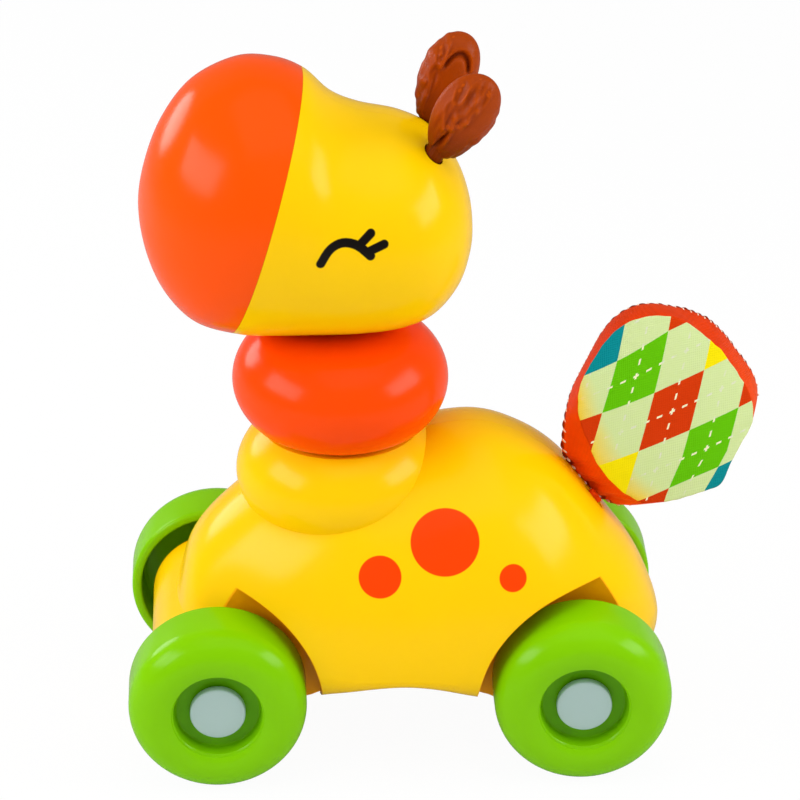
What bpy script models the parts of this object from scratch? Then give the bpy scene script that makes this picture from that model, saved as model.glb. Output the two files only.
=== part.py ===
"""A giraffe push toy on wheels.

The head and the bead under it turn on the neck. The front axle drives a small flywheel through gears, so
that the toy rolls on after a push.
The nose points along -X, the right side along +Y, and the wheels stand on z = 0.
"""

import math

import bmesh
import bpy
from mathutils import Matrix, Vector

# Driving dimensions, in metres and degrees. X is measured from the middle of the wheelbase while building.
FIT = 0.0003
WALL = 0.0020

WHEEL_RADIUS = 0.0210
WHEEL_WIDTH = 0.0199
WHEEL_SHOULDER = 0.0085
WHEEL_INNER_EDGE = 0.0010
WHEEL_RIM_WALL = 0.0024
WHEEL_WEB = 0.0020
WHEELBASE = 0.0858
TRACK = 0.0630
HUB_RECESS_RADIUS = 0.0104
HUB_RECESS_DEPTH = 0.0036
HUB_BOSS_RADIUS = 0.0052
CAP_RADIUS = 0.0065
CAP_THICKNESS = 0.0022
AXLE_RADIUS = 0.0020
SIDE_PLAY = 0.0005

FRONT_OVERHANG = 0.0100
REAR_OVERHANG = 0.0205
BODY_WIDTH = 0.0740
BACK_HEIGHT = 0.0780
WAIST_HEIGHT = 0.0280
BELLY_HEIGHT = 0.0190
BELLY_FLAT = 0.0012
BELLY_LENGTH = 0.0180
BELLY_CURVE = 0.0180
BELLY_STEPS = 5
PAN_HEIGHT = 0.0100
FRONT_ARCH_CLEARANCE = 0.0036
REAR_ARCH_CLEARANCE = 0.0050
HOUSING_RADIUS = 0.0156

NECK_SETBACK = 0.0401
COLLAR_RADIUS = 0.02475
COLLAR_DROP = 0.0006
COLLAR_SHOULDER = 0.0116
COLLAR_RISE = 0.0175
COLLAR_FOOT = 0.0157
RING_RADIUS = 0.0250
RING_RISE = 0.0176
RING_FOOT = 0.0120
RING_CROWN = 0.01355
BEAD_STEPS = 8
POST_RADIUS = 0.0060
POST_WAIST_RADIUS = 0.0048
POST_FLANGE = 0.0014
SLEEVE_LENGTH = 0.0240
SLEEVE_WALL = 0.0024

HEAD_LENGTH = 0.0766
HEAD_AHEAD = 0.0460
HEAD_HEIGHT = 0.0652
HEAD_WIDTH = 0.0580
NECK_SEAT = 0.0036
MUZZLE_TILT = 16.3
MUZZLE_LENGTH = 0.0288

EAR_LENGTH = 0.0235
EAR_WIDTH = 0.0150
EAR_THICKNESS = 0.0080
EAR_CUP = 0.0030
EAR_CUP_LENGTH = 0.0165
EAR_CUP_WIDTH = 0.0100
EAR_PEG_RADIUS = 0.0024
EAR_PEG_LENGTH = 0.0050
EAR_SPACING = 0.0160
EAR_INSET = 0.0096
LEFT_EAR_LEAN = 28.0
RIGHT_EAR_LEAN = 17.0
EAR_SPLAY = 8.0

TAIL_HEIGHT = 0.0508
TAIL_WIDTH = 0.0490
TAIL_THICKNESS = 0.0095
TAIL_YAW = 20.0
TAIL_STATION = 0.850
TAB_WIDTH = 0.0070
TAB_THICKNESS = 0.0010
TAB_DEPTH = 0.0060
TAB_REACH = 0.0026

GEAR_MODULE = 0.0010
PRESSURE_ANGLE = 25.0
ADDENDUM = 0.80
DEDENDUM = 1.05
BACKLASH = 0.00035
PINION_TEETH = 10
GEAR_TEETH = 24
GEAR_WIDTH = 0.0028
GEAR_GAP = 0.0008
DRIVE_OFFSET = 0.0030
DRIVE_ANGLE = 62.0
FLYWHEEL_ANGLE = -5.0
FLYWHEEL_RADIUS = 0.0105
SHAFT_RADIUS = 0.0015
FRAME_PLATE = 0.0020
FRAME_LEFT = 0.0066
FRAME_RIGHT = 0.0100

SCREW_RADIUS = 0.0013
SCREW_HEAD_RADIUS = 0.0025
SCREW_HEAD_HEIGHT = 0.0016
SCREW_SEAT = 0.0026
SCREW_GRIP = 0.0080
BOSS_WALL = 0.0012
FRAME_SCREW_SHIFT = 0.0045
FRAME_SCREW_BEHIND = 0.0128
FRAME_SCREW_RISE = 0.0041
FRAME_SCREW_FLOOR = 0.0070
BACK_SCREW_AHEAD = 0.0140
BACK_SCREW_DEPTH = 0.0170
RUMP_SCREW_BEHIND = 0.0100
RUMP_SCREW_RISE = 0.0090
NAPE_SCREW_DEPTH = 0.0110
NAPE_SCREW_RISE = 0.0190
CROWN_SCREW_DEPTH = 0.0240
CROWN_SCREW_RISE = 0.0400

ROUND = 24
SMALL_ROUND = 12
BODY_SIDES = 20
HEAD_SIDES = 18
LOFT_STEPS = 2

# Lines of the body: shares of length, of rise above the waist, of drop below it and of half width.
BODY_LINES = (
    (0.000, 0.00, 0.00, 0.000),
    (0.011, 0.17, 0.89, 0.305),
    (0.039, 0.38, 1.44, 0.490),
    (0.097, 0.56, 1.72, 0.690),
    (0.197, 0.74, 1.61, 0.867),
    (0.334, 0.88, 1.22, 0.973),
    (0.472, 0.94, 1.00, 1.000),
    (0.607, 1.00, 1.28, 0.986),
    (0.704, 0.93, 1.61, 0.940),
    (0.792, 0.74, 1.78, 0.854),
    (0.876, 0.47, 1.72, 0.706),
    (0.945, 0.23, 1.33, 0.466),
    (0.986, 0.05, 0.94, 0.220),
    (1.000, -0.06, 0.333, 0.000),
)

# Lines of the head: share of its length, top and underside as shares of its height, share of its half width.
HEAD_LINES = (
    (0.000, 0.475, 0.475, 0.000),
    (0.021, 0.618, 0.322, 0.328),
    (0.076, 0.775, 0.176, 0.620),
    (0.167, 0.913, 0.061, 0.845),
    (0.298, 0.992, 0.008, 0.983),
    (0.409, 0.989, 0.000, 1.000),
    (0.500, 0.940, 0.000, 0.983),
    (0.578, 0.848, 0.002, 0.959),
    (0.663, 0.810, 0.006, 0.941),
    (0.781, 0.787, 0.023, 0.897),
    (0.879, 0.713, 0.069, 0.776),
    (0.954, 0.590, 0.169, 0.552),
    (0.991, 0.475, 0.284, 0.276),
    (1.000, 0.376, 0.376, 0.000),
)
BODY_WAIST_LIMIT = 0.75
HEAD_WAIST = 0.47

# Outline of the tail pad: shares of its half width and half height, going round from its right side.
TAIL_OUTLINE = (
    (1.00, -0.06),
    (0.80, 0.45),
    (0.36, 0.86),
    (-0.20, 1.00),
    (-0.60, 0.74),
    (-0.97, 0.14),
    (-0.98, -0.30),
    (-0.67, -0.83),
    (-0.20, -0.97),
    (0.40, -1.00),
    (0.88, -0.68),
)
TAIL_RINGS = ((1.00, 0.00), (0.995, 0.45), (0.96, 0.74), (0.86, 0.90), (0.62, 0.98), (0.30, 1.00))
TAIL_OUTLINE_STEPS = 3
TAIL_CORNER = (-0.70, -0.85)

# Colours and finishes of the pieces: base colour, roughness, metallic value.
YELLOW = ((0.95, 0.58, 0.01), 0.22, 0.0)
ORANGE = ((0.95, 0.09, 0.003), 0.22, 0.0)
GREEN = ((0.23, 0.60, 0.005), 0.22, 0.0)
PALE = ((0.55, 0.62, 0.60), 0.35, 0.0)
BROWN = ((0.32, 0.065, 0.006), 0.55, 0.0)
CLOTH = ((0.66, 0.05, 0.004), 0.70, 0.0)
STEEL = ((0.60, 0.60, 0.62), 0.30, 1.0)
NATURAL = ((0.80, 0.79, 0.74), 0.40, 0.0)
GREY = ((0.20, 0.21, 0.22), 0.45, 0.0)

# Places worked out from the driving dimensions.
UP = Vector((0.0, 0.0, 1.0))
ACROSS = Vector((0.0, 1.0, 0.0))
SIDES = (("left", -1.0), ("right", 1.0))
AXLE_HEIGHT = WHEEL_RADIUS * math.cos(math.pi / ROUND)
FRONT_AXLE_X = -WHEELBASE / 2
REAR_AXLE_X = WHEELBASE / 2
BODY_FRONT = FRONT_OVERHANG - FRONT_AXLE_X
BODY_LENGTH = WHEELBASE + FRONT_OVERHANG + REAR_OVERHANG
HALF_TRACK = TRACK / 2
WHEEL_FACE = WHEEL_WIDTH / 2
HUB_FLOOR = WHEEL_FACE - HUB_RECESS_DEPTH
FRONT_ARCH_RADIUS = WHEEL_RADIUS + FRONT_ARCH_CLEARANCE
REAR_ARCH_RADIUS = WHEEL_RADIUS + REAR_ARCH_CLEARANCE
ARCH_WALL = HALF_TRACK - WHEEL_FACE - SIDE_PLAY
FAR = 2 * BODY_LENGTH

NECK_X = NECK_SETBACK - BODY_FRONT
HEAD_FRONT = HEAD_AHEAD - NECK_X
COLLAR_TOP = BACK_HEIGHT - COLLAR_DROP
COLLAR_EQUATOR = COLLAR_TOP - COLLAR_SHOULDER
RING_CENTRE = COLLAR_TOP + FIT + RING_FOOT
HEAD_BOTTOM = RING_CENTRE + RING_CROWN + FIT
POST_TOP = HEAD_BOTTOM + NECK_SEAT + 2 * WALL
SLEEVE_BOTTOM = COLLAR_TOP - SLEEVE_LENGTH
SLEEVE_RADIUS = POST_RADIUS + FIT + SLEEVE_WALL
GEAR_OFFSET = DRIVE_OFFSET + GEAR_WIDTH + GEAR_GAP
GEAR_RADIUS = GEAR_MODULE * GEAR_TEETH / 2
GEAR_REACH = GEAR_MODULE * (GEAR_TEETH + PINION_TEETH) / 2
BOSS_RADIUS = SCREW_HEAD_RADIUS + FIT + BOSS_WALL
PILLAR_RADIUS = SCREW_RADIUS + FIT + BOSS_WALL


def aside(place, angle, reach):
    """The (x, z) point at this angle and distance from another."""
    turn = math.radians(angle)
    return place + Vector((math.cos(turn), math.sin(turn))) * reach


FRONT_AXLE_PLACE = Vector((FRONT_AXLE_X, AXLE_HEIGHT))
DRIVE_PLACE = aside(FRONT_AXLE_PLACE, DRIVE_ANGLE, GEAR_REACH)
FLYWHEEL_PLACE = aside(DRIVE_PLACE, FLYWHEEL_ANGLE, GEAR_REACH)

# Places of the screws, as (x, z): through the gear frame, behind it through the body halves, and in the head.
DRIVE_TOP = DRIVE_PLACE.y + GEAR_RADIUS
HEAD_REAR = HEAD_LENGTH - HEAD_FRONT
FRAME_SCREWS = (
    (DRIVE_PLACE.x + FRAME_SCREW_SHIFT, DRIVE_TOP + FRAME_SCREW_RISE),
    (NECK_X + FRAME_SCREW_BEHIND, BELLY_HEIGHT + FRAME_SCREW_FLOOR),
    (NECK_X + FRAME_SCREW_BEHIND, DRIVE_TOP + FRAME_SCREW_RISE),
)
REAR_SCREWS = (
    (REAR_AXLE_X - BACK_SCREW_AHEAD, BACK_HEIGHT - BACK_SCREW_DEPTH),
    (REAR_AXLE_X + RUMP_SCREW_BEHIND, AXLE_HEIGHT + RUMP_SCREW_RISE),
)
HEAD_SCREWS = (
    (HEAD_REAR - NAPE_SCREW_DEPTH, HEAD_BOTTOM + NAPE_SCREW_RISE),
    (HEAD_REAR - CROWN_SCREW_DEPTH, HEAD_BOTTOM + CROWN_SCREW_RISE),
)


def clear_scene():
    for item in list(bpy.data.objects):
        bpy.data.objects.remove(item, do_unlink=True)


def material(name, finish):
    """A plain surface of one colour."""
    colour, roughness, metallic = finish
    found = bpy.data.materials.new(name)
    found.use_nodes = True
    shader = found.node_tree.nodes["Principled BSDF"]
    shader.inputs["Base Color"].default_value = (*colour, 1.0)
    shader.inputs["Roughness"].default_value = roughness
    shader.inputs["Metallic"].default_value = metallic
    return found


def axis_empty(name, place, parent=None):
    """An empty that marks a joint's axis and carries the pieces that move on it."""
    empty = bpy.data.objects.new(name, None)
    empty.empty_display_size = WALL
    empty.location = place
    empty.parent = parent
    bpy.context.scene.collection.objects.link(empty)
    return empty


def solid(bm, name="solid"):
    """An object made from this bmesh, with its faces pointing out."""
    bmesh.ops.recalc_face_normals(bm, faces=bm.faces)
    if bm.calc_volume(signed=True) < 0:
        bmesh.ops.reverse_faces(bm, faces=bm.faces)
    mesh = bpy.data.meshes.new(name)
    bm.to_mesh(mesh)
    bm.free()
    made = bpy.data.objects.new(name, mesh)
    bpy.context.scene.collection.objects.link(made)
    return made


def copy_of(source):
    twin = bpy.data.objects.new("copy", source.data.copy())
    bpy.context.scene.collection.objects.link(twin)
    return twin


def shrunk(source, depth):
    """A copy whose surface lies this deep inside the source's."""
    bm = bmesh.new()
    bm.from_mesh(source.data)
    bm.normal_update()
    moves = [(corner, corner.normal * depth) for corner in bm.verts]
    for corner, move in moves:
        corner.co -= move
    return solid(bm)


def combine(target, tools, operation):
    """Applies a union, difference or intersection with each tool, and removes the tools."""
    for tool in tools:
        change = target.modifiers.new(operation, "BOOLEAN")
        change.operation = operation
        change.solver = "MANIFOLD"
        change.object = tool
        graph = bpy.context.evaluated_depsgraph_get()
        mesh = bpy.data.meshes.new_from_object(target.evaluated_get(graph))
        target.modifiers.clear()
        target.data = mesh
        bpy.data.objects.remove(tool, do_unlink=True)
    return target


def join(target, *tools):
    return combine(target, tools, "UNION")


def cut(target, *tools):
    return combine(target, tools, "DIFFERENCE")


def turn_to(place, direction):
    """The transform that takes the local Z axis to this direction and the origin to this place."""
    turn = UP.rotation_difference(Vector(direction)).to_matrix().to_4x4()
    return Matrix.Translation(place) @ turn


def turned(profile, place, direction, steps=ROUND):
    """A turned solid from (radius, height) points, closed along the axis or as a loop."""
    bm = bmesh.new()
    half_step = math.pi / steps
    corners = []
    for radius, height in profile:
        corners.append(bm.verts.new((radius * math.cos(half_step), radius * math.sin(half_step), height)))
    edges = [bm.edges.new(pair) for pair in zip(corners, corners[1:])]
    if profile[0][0] > 0:
        edges.append(bm.edges.new((corners[-1], corners[0])))
    bmesh.ops.spin(
        bm, geom=corners + edges, cent=(0, 0, 0), axis=UP, angle=2 * math.pi, steps=steps, use_merge=True
    )
    bmesh.ops.remove_doubles(bm, verts=bm.verts, dist=1e-6)
    bm.transform(turn_to(place, direction))
    return solid(bm)


def rod(radius, start, end, steps=ROUND):
    """A plain cylinder between two points."""
    start = Vector(start)
    line = Vector(end) - start
    profile = ((0, 0), (radius, 0), (radius, line.length), (0, line.length))
    return turned(profile, start, line, steps)


def cross_rod(radius, spot, low, high, steps=ROUND):
    """A cylinder along Y at an (x, z) spot."""
    return rod(radius, (spot[0], low, spot[1]), (spot[0], high, spot[1]), steps)


def block(low, high, frame=None):
    """A box between two corners, in the world or in a given frame."""
    low = Vector(low)
    size = Vector(high) - low
    bm = bmesh.new()
    bmesh.ops.create_cube(bm, size=1.0)
    bm.transform(Matrix.Translation(low + size / 2) @ Matrix.Diagonal((*size, 1.0)))
    if frame:
        bm.transform(frame)
    return solid(bm)


def plate(outline, low, high):
    """An outline of (x, z) points, drawn out along Y."""
    bm = bmesh.new()
    corners = [bm.verts.new((x, low, z)) for x, z in outline]
    face = bm.faces.new(corners)
    grown = bmesh.ops.extrude_face_region(bm, geom=[face])
    moved = [item for item in grown["geom"] if isinstance(item, bmesh.types.BMVert)]
    bmesh.ops.translate(bm, verts=moved, vec=ACROSS * (high - low))
    return solid(bm)


def arc(centre, radius, start, end, count):
    """Points of a circular arc, with angles in degrees."""
    points = []
    for step in range(count + 1):
        angle = math.radians(start + (end - start) * step / count)
        points.append((centre[0] + radius * math.cos(angle), centre[1] + radius * math.sin(angle)))
    return points


def catmull(before, start, end, after, share):
    """A smooth value between start and end."""
    slope_in = (end - before) / 2
    slope_out = (after - start) / 2
    square = share * share
    cube = square * share
    return (
        (2 * cube - 3 * square + 1) * start
        + (cube - 2 * square + share) * slope_in
        + (3 * square - 2 * cube) * end
        + (cube - square) * slope_out
    )


def smooth_rows(rows, steps):
    """Rows that pass through the given ones, with this many steps between two of them."""
    found = []
    for index in range(1, len(rows) - 2):
        for step in range(steps):
            columns = zip(*rows[index - 1 : index + 3])
            found.append([catmull(*column, step / steps) for column in columns])
    found.append(list(rows[-2]))
    return found


def lofted(lines, waist_of, sides):
    """A closed body through upright sections, each given as x, top, bottom and half width."""
    first = lines[1]
    last = lines[-2]
    ahead = (first[0], first[2], first[1], -first[3])
    behind = (last[0], last[2], last[1], -last[3])
    rows = smooth_rows((ahead, *lines, behind), LOFT_STEPS)
    bm = bmesh.new()
    rings = []
    for x, top, bottom, half_width in rows[1:-1]:
        waist = waist_of(top, bottom)
        ring = []
        for step in range(sides):
            angle = 2 * math.pi * (step + 0.5) / sides
            reach = top - waist if math.sin(angle) > 0 else waist - bottom
            ring.append(bm.verts.new((x, half_width * math.cos(angle), waist + reach * math.sin(angle))))
        rings.append(ring)
    for ring, following in zip(rings, rings[1:]):
        for step in range(sides):
            after = (step + 1) % sides
            bm.faces.new((ring[step], ring[after], following[after], following[step]))
    for ring, row in ((rings[0], rows[0]), (rings[-1], rows[-1])):
        pole = bm.verts.new((row[0], 0.0, row[1]))
        for step in range(sides):
            bm.faces.new((ring[step], ring[(step + 1) % sides], pole))
    return solid(bm)


def body_lines():
    """The body's sections at their real size."""
    rise = BACK_HEIGHT - WAIST_HEIGHT
    drop = WAIST_HEIGHT - BELLY_HEIGHT + BELLY_FLAT
    found = []
    for along, top, bottom, width in BODY_LINES:
        x = along * BODY_LENGTH - BODY_FRONT
        low = WAIST_HEIGHT + rise * top if width == 0 else WAIST_HEIGHT - drop * bottom
        found.append((x, WAIST_HEIGHT + rise * top, low, width * BODY_WIDTH / 2))
    return found


def body_waist(top, bottom):
    return min(WAIST_HEIGHT, bottom + BODY_WAIST_LIMIT * (top - bottom))


def head_lines():
    """The head's sections at their real size."""
    found = []
    for along, top, bottom, width in HEAD_LINES:
        x = along * HEAD_LENGTH - HEAD_FRONT
        low = HEAD_BOTTOM + bottom * HEAD_HEIGHT
        found.append((x, HEAD_BOTTOM + top * HEAD_HEIGHT, low, width * HEAD_WIDTH / 2))
    return found


def head_waist(top, bottom):
    return bottom + HEAD_WAIST * (top - bottom)


def top_of(lines, share):
    """The point of the middle plane's top line at this share of the length, with its slope."""
    span = lines[-1][0] - lines[0][0]
    wanted = lines[0][0] + share * span
    for start, end in zip(lines, lines[1:]):
        if start[0] <= wanted <= end[0]:
            part = (wanted - start[0]) / (end[0] - start[0])
            height = start[1] + part * (end[1] - start[1])
            slope = Vector((end[0] - start[0], 0.0, end[1] - start[1])).normalized()
            return Vector((wanted, 0.0, height)), slope
    return None


def finish(piece, name, surface, carrier, smooth_angle=40.0):
    """Names a piece, gives it its material and hangs it on the empty of its body."""
    piece.name = name
    piece.data.name = name
    place = Vector(carrier.location)
    piece.data.transform(Matrix.Translation(-place))
    piece.parent = carrier
    piece.data.materials.clear()
    piece.data.materials.append(surface)
    piece.data.shade_smooth()
    piece.data.set_sharp_from_angle(angle=math.radians(smooth_angle))
    return piece


def gear_outline(teeth, place, first_angle):
    """A spur gear's outline of (x, z) points, with one tooth centred on the first angle."""
    pitch = GEAR_MODULE * teeth / 2
    pressure = math.radians(PRESSURE_ANGLE)
    base = pitch * math.cos(pressure)
    tip = pitch + ADDENDUM * GEAR_MODULE
    root = pitch - DEDENDUM * GEAR_MODULE
    half_tooth = math.pi / (2 * teeth) - BACKLASH / (2 * pitch)
    roll = math.tan(pressure) - pressure

    def half_angle(radius):
        lean = math.acos(min(1.0, base / radius))
        return half_tooth + roll - (math.tan(lean) - lean)

    foot = max(base, root)
    flank = [(root, half_angle(foot)), (foot, half_angle(foot)), (tip, half_angle(tip))]
    if foot == root:
        flank = flank[1:]
    points = []
    for tooth in range(teeth):
        middle = first_angle + 2 * math.pi * tooth / teeth
        turns = [(radius, middle - half) for radius, half in flank]
        turns += [(radius, middle + half) for radius, half in reversed(flank)]
        for radius, angle in turns:
            points.append((place.x + radius * math.cos(angle), place.y + radius * math.sin(angle)))
    return points


def heading(start, end):
    """The angle from one (x, z) point to another."""
    return math.atan2(end.y - start.y, end.x - start.x)


def build_wheel(place, side):
    """A wheel with a rounded outer face, a hub recess and a hollow inside."""
    bore = AXLE_RADIUS + FIT
    shoulder = (WHEEL_RADIUS - WHEEL_SHOULDER, WHEEL_FACE - WHEEL_SHOULDER)
    inner_edge = (WHEEL_RADIUS - WHEEL_INNER_EDGE, WHEEL_INNER_EDGE - WHEEL_FACE)
    hollow = WHEEL_RADIUS - WHEEL_RIM_WALL
    web_back = HUB_FLOOR - WHEEL_WEB
    recess_wall = CAP_RADIUS + 2 * FIT
    profile = [(bore, HUB_FLOOR), (recess_wall, HUB_FLOOR)]
    profile += [(HUB_RECESS_RADIUS - WALL / 2, WHEEL_FACE - WALL), (HUB_RECESS_RADIUS, WHEEL_FACE - WALL / 2)]
    profile += arc(shoulder, WHEEL_SHOULDER, 95, 0, 3)
    profile += arc(inner_edge, WHEEL_INNER_EDGE, 0, -90, 1)
    profile += [(hollow, -WHEEL_FACE), (hollow, web_back), (HUB_BOSS_RADIUS, web_back)]
    profile += [(HUB_BOSS_RADIUS, -WHEEL_FACE), (bore, -WHEEL_FACE)]
    return turned(profile, place, ACROSS * side)


def build_cap(place, side):
    """A cap with a blind socket, pressed on the axle's end."""
    low = HUB_FLOOR + FIT
    high = low + CAP_THICKNESS
    edge = CAP_THICKNESS / 4
    socket = AXLE_RADIUS + FIT
    depth = low + CAP_THICKNESS / 2 + FIT
    profile = [(0, depth), (socket, depth), (socket, low), (CAP_RADIUS, low), (CAP_RADIUS, high - edge)]
    profile += [(CAP_RADIUS - edge, high), (0, high)]
    return turned(profile, place, ACROSS * side, SMALL_ROUND + SMALL_ROUND // 2)


def build_axle(x):
    reach = HALF_TRACK + HUB_FLOOR + FIT + CAP_THICKNESS / 2
    return cross_rod(AXLE_RADIUS, (x, AXLE_HEIGHT), -reach, reach, SMALL_ROUND)


def bead_curve(radius, rise, low, high):
    """Points of a bead's outline between two heights above its widest place."""
    points = []
    for step in range(BEAD_STEPS + 1):
        height = low + (high - low) * step / BEAD_STEPS
        points.append((radius * math.sqrt(1 - (height / rise) ** 2), height))
    return points


def build_collar(depth):
    """The collar, this deep inside its surface: a bead cut flat where the ring sits."""
    low = depth - COLLAR_FOOT
    high = COLLAR_SHOULDER - depth
    curve = bead_curve(COLLAR_RADIUS - depth, COLLAR_RISE - depth, low, high)
    return turned([(0, low), *curve, (0, high)], (NECK_X, 0.0, COLLAR_EQUATOR), UP)


def screw_holes(spots, near, seat, deep):
    """Cutters for screws along Y: a counterbore to the seat, a clear hole, and a blind pilot hole."""
    cutters = []
    for spot in spots:
        cutters.append(cross_rod(SCREW_HEAD_RADIUS + FIT, spot, seat, FAR, SMALL_ROUND))
        cutters.append(cross_rod(SCREW_RADIUS + FIT, spot, near, seat + FIT, SMALL_ROUND))
        cutters.append(cross_rod(SCREW_RADIUS + FIT, spot, -deep, near, SMALL_ROUND))
    return cutters


def build_screw(spot, seat, deep):
    """A pan-head screw along Y, with its head on the seat and its tip this deep past the middle plane."""
    head = seat + deep
    profile = [(0, 0), (SCREW_RADIUS, 0), (SCREW_RADIUS, head), (SCREW_HEAD_RADIUS, head)]
    profile += [(SCREW_HEAD_RADIUS, head + SCREW_HEAD_HEIGHT / 2)]
    profile += [(SCREW_RADIUS, head + SCREW_HEAD_HEIGHT), (0, head + SCREW_HEAD_HEIGHT)]
    return turned(profile, (spot[0], FIT - deep, spot[1]), ACROSS, SMALL_ROUND // 2)


def tail_frame():
    """The tail root: a frame at the body's surface with X along the back and Z out of it."""
    place, slope = top_of(body_lines(), TAIL_STATION)
    out = Vector((-slope.z, 0.0, slope.x))
    turn = Matrix((slope, ACROSS, out)).transposed().to_4x4()
    return Matrix.Translation(place) @ turn


def belly_arch(margin):
    """The space under the belly, flat in the middle and curved down to the housings, grown by a margin."""
    reach = BELLY_LENGTH / 2
    centre = BELLY_HEIGHT - BELLY_CURVE
    radius = BELLY_CURVE + margin
    outline = arc((-reach, centre), radius, 180, 90, BELLY_STEPS)
    outline += arc((reach, centre), radius, 90, 0, BELLY_STEPS)
    outline += [(reach + radius, -FAR), (-reach - radius, -FAR)]
    return plate(outline, -FAR, FAR)


def belly_pan(depth):
    """The low middle of the body between the axles and between the arches, this deep inside its skin."""
    side = ARCH_WALL - 2 * FIT - depth
    return block((FRONT_AXLE_X, -side, PAN_HEIGHT + depth), (REAR_AXLE_X, side, WAIST_HEIGHT))


def build_body():
    """Both body halves: a hollow shell with arches, axle housings, collar, neck sleeve and screw bosses."""
    axles = ((FRONT_AXLE_X, AXLE_HEIGHT), (REAR_AXLE_X, AXLE_HEIGHT))
    neck = (NECK_X, 0.0)
    form = lofted(body_lines(), body_waist, BODY_SIDES)
    cavity = shrunk(form, WALL)
    join(form, build_collar(0.0))
    join(cavity, build_collar(WALL))
    for spot in axles:
        join(form, cross_rod(HOUSING_RADIUS, spot, -ARCH_WALL - WALL, ARCH_WALL + WALL))
        join(cavity, cross_rod(HOUSING_RADIUS - WALL, spot, -ARCH_WALL, ARCH_WALL))
    join(form, belly_pan(0.0))
    join(cavity, belly_pan(WALL))
    for spot, radius in zip(axles, (FRONT_ARCH_RADIUS, REAR_ARCH_RADIUS)):
        for low, high in ((-FAR, -ARCH_WALL), (ARCH_WALL, FAR)):
            cut(form, cross_rod(radius, spot, low, high))
        for low, high in ((-FAR, WALL - ARCH_WALL), (ARCH_WALL - WALL, FAR)):
            cut(cavity, cross_rod(radius + WALL, spot, low, high))
    cut(form, belly_arch(0.0))
    cut(cavity, belly_arch(WALL))
    cut(cavity, rod(SLEEVE_RADIUS, (*neck, SLEEVE_BOTTOM), (*neck, FAR)))
    for spot in FRAME_SCREWS:
        cut(cavity, cross_rod(BOSS_RADIUS, spot, FRAME_RIGHT + FRAME_PLATE + FIT, FAR, SMALL_ROUND))
        cut(cavity, cross_rod(BOSS_RADIUS, spot, -FAR, -FRAME_LEFT - FRAME_PLATE - FIT, SMALL_ROUND))
    for spot in REAR_SCREWS:
        cut(cavity, cross_rod(BOSS_RADIUS, spot, -FAR, FAR, SMALL_ROUND))
    clamp = TAB_WIDTH / 2 + FIT + WALL
    clamp_floor = -TAB_DEPTH - FIT - WALL
    cut(cavity, block((-clamp, -BOSS_RADIUS, clamp_floor), (clamp, BOSS_RADIUS, WALL), tail_frame()))
    cut(form, cavity)
    cut(form, rod(POST_RADIUS + FIT, (*neck, SLEEVE_BOTTOM - WALL), (*neck, FAR)))
    flange_low, flange_high = flange_heights()
    groove = POST_RADIUS + POST_FLANGE + FIT
    cut(form, rod(groove, (*neck, flange_low - FIT), (*neck, flange_high + FIT)))
    for spot in axles:
        cut(form, cross_rod(AXLE_RADIUS + FIT, spot, -FAR, FAR, SMALL_ROUND))
    frame_near = FRAME_RIGHT + FRAME_PLATE + FIT
    cut(form, *screw_holes(FRAME_SCREWS, 0.0, frame_near + SCREW_SEAT, frame_screw_depth() + FIT))
    cut(form, *screw_holes(REAR_SCREWS, 0.0, SCREW_SEAT, SCREW_GRIP + FIT))
    slot = TAB_WIDTH / 2 + FIT
    slip = TAB_THICKNESS / 2 + FIT
    cut(form, block((-slot, -slip, -TAB_DEPTH - FIT), (slot, slip, 2 * WALL), tail_frame()))
    halves = []
    for _, side in SIDES:
        half = copy_of(form)
        low, high = sorted((-side * FAR, side * FIT / 2))
        cut(half, block((-FAR, low, -FAR), (FAR, high, FAR)))
        halves.append(half)
    bpy.data.objects.remove(form, do_unlink=True)
    return halves


def flange_heights():
    """Lower and upper height of the flange that holds the post in its sleeve."""
    middle = SLEEVE_BOTTOM + SLEEVE_LENGTH / 2
    return middle - WALL / 2, middle + WALL / 2


def frame_screw_depth():
    return FRAME_LEFT + FRAME_PLATE + FIT + SCREW_GRIP


def muzzle_block(ahead):
    """A half space on one side of the tilted seam between the muzzle and the head."""
    middle = Vector((MUZZLE_LENGTH - HEAD_FRONT, 0.0, HEAD_BOTTOM + HEAD_WAIST * HEAD_HEIGHT))
    frame = Matrix.Translation(middle) @ Matrix.Rotation(math.radians(MUZZLE_TILT), 4, "Y")
    if ahead:
        return block((-FAR, -FAR, -FAR), (FIT / 2, FAR, FAR), frame)
    return block((-FIT / 2, -FAR, -FAR), (FAR, FAR, FAR), frame)


def ear_frame(side, lean):
    """The ear's frame: origin where it leaves the head, Z along the ear, Y out of its back."""
    lines = head_lines()
    place, _ = top_of(lines, 1 - EAR_INSET / HEAD_LENGTH)
    apart = EAR_SPACING / 2
    row = min(lines, key=lambda line: abs(line[0] - place.x))
    waist = head_waist(row[1], row[2])
    place.z = waist + (place.z - waist) * math.sqrt(1 - (apart / row[3]) ** 2)
    place.y = side * apart
    turn = Matrix.Rotation(math.radians(lean), 4, "Y")
    splay = Matrix.Rotation(math.radians(-side * EAR_SPLAY), 4, "X")
    return Matrix.Translation(place) @ turn @ splay


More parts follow.
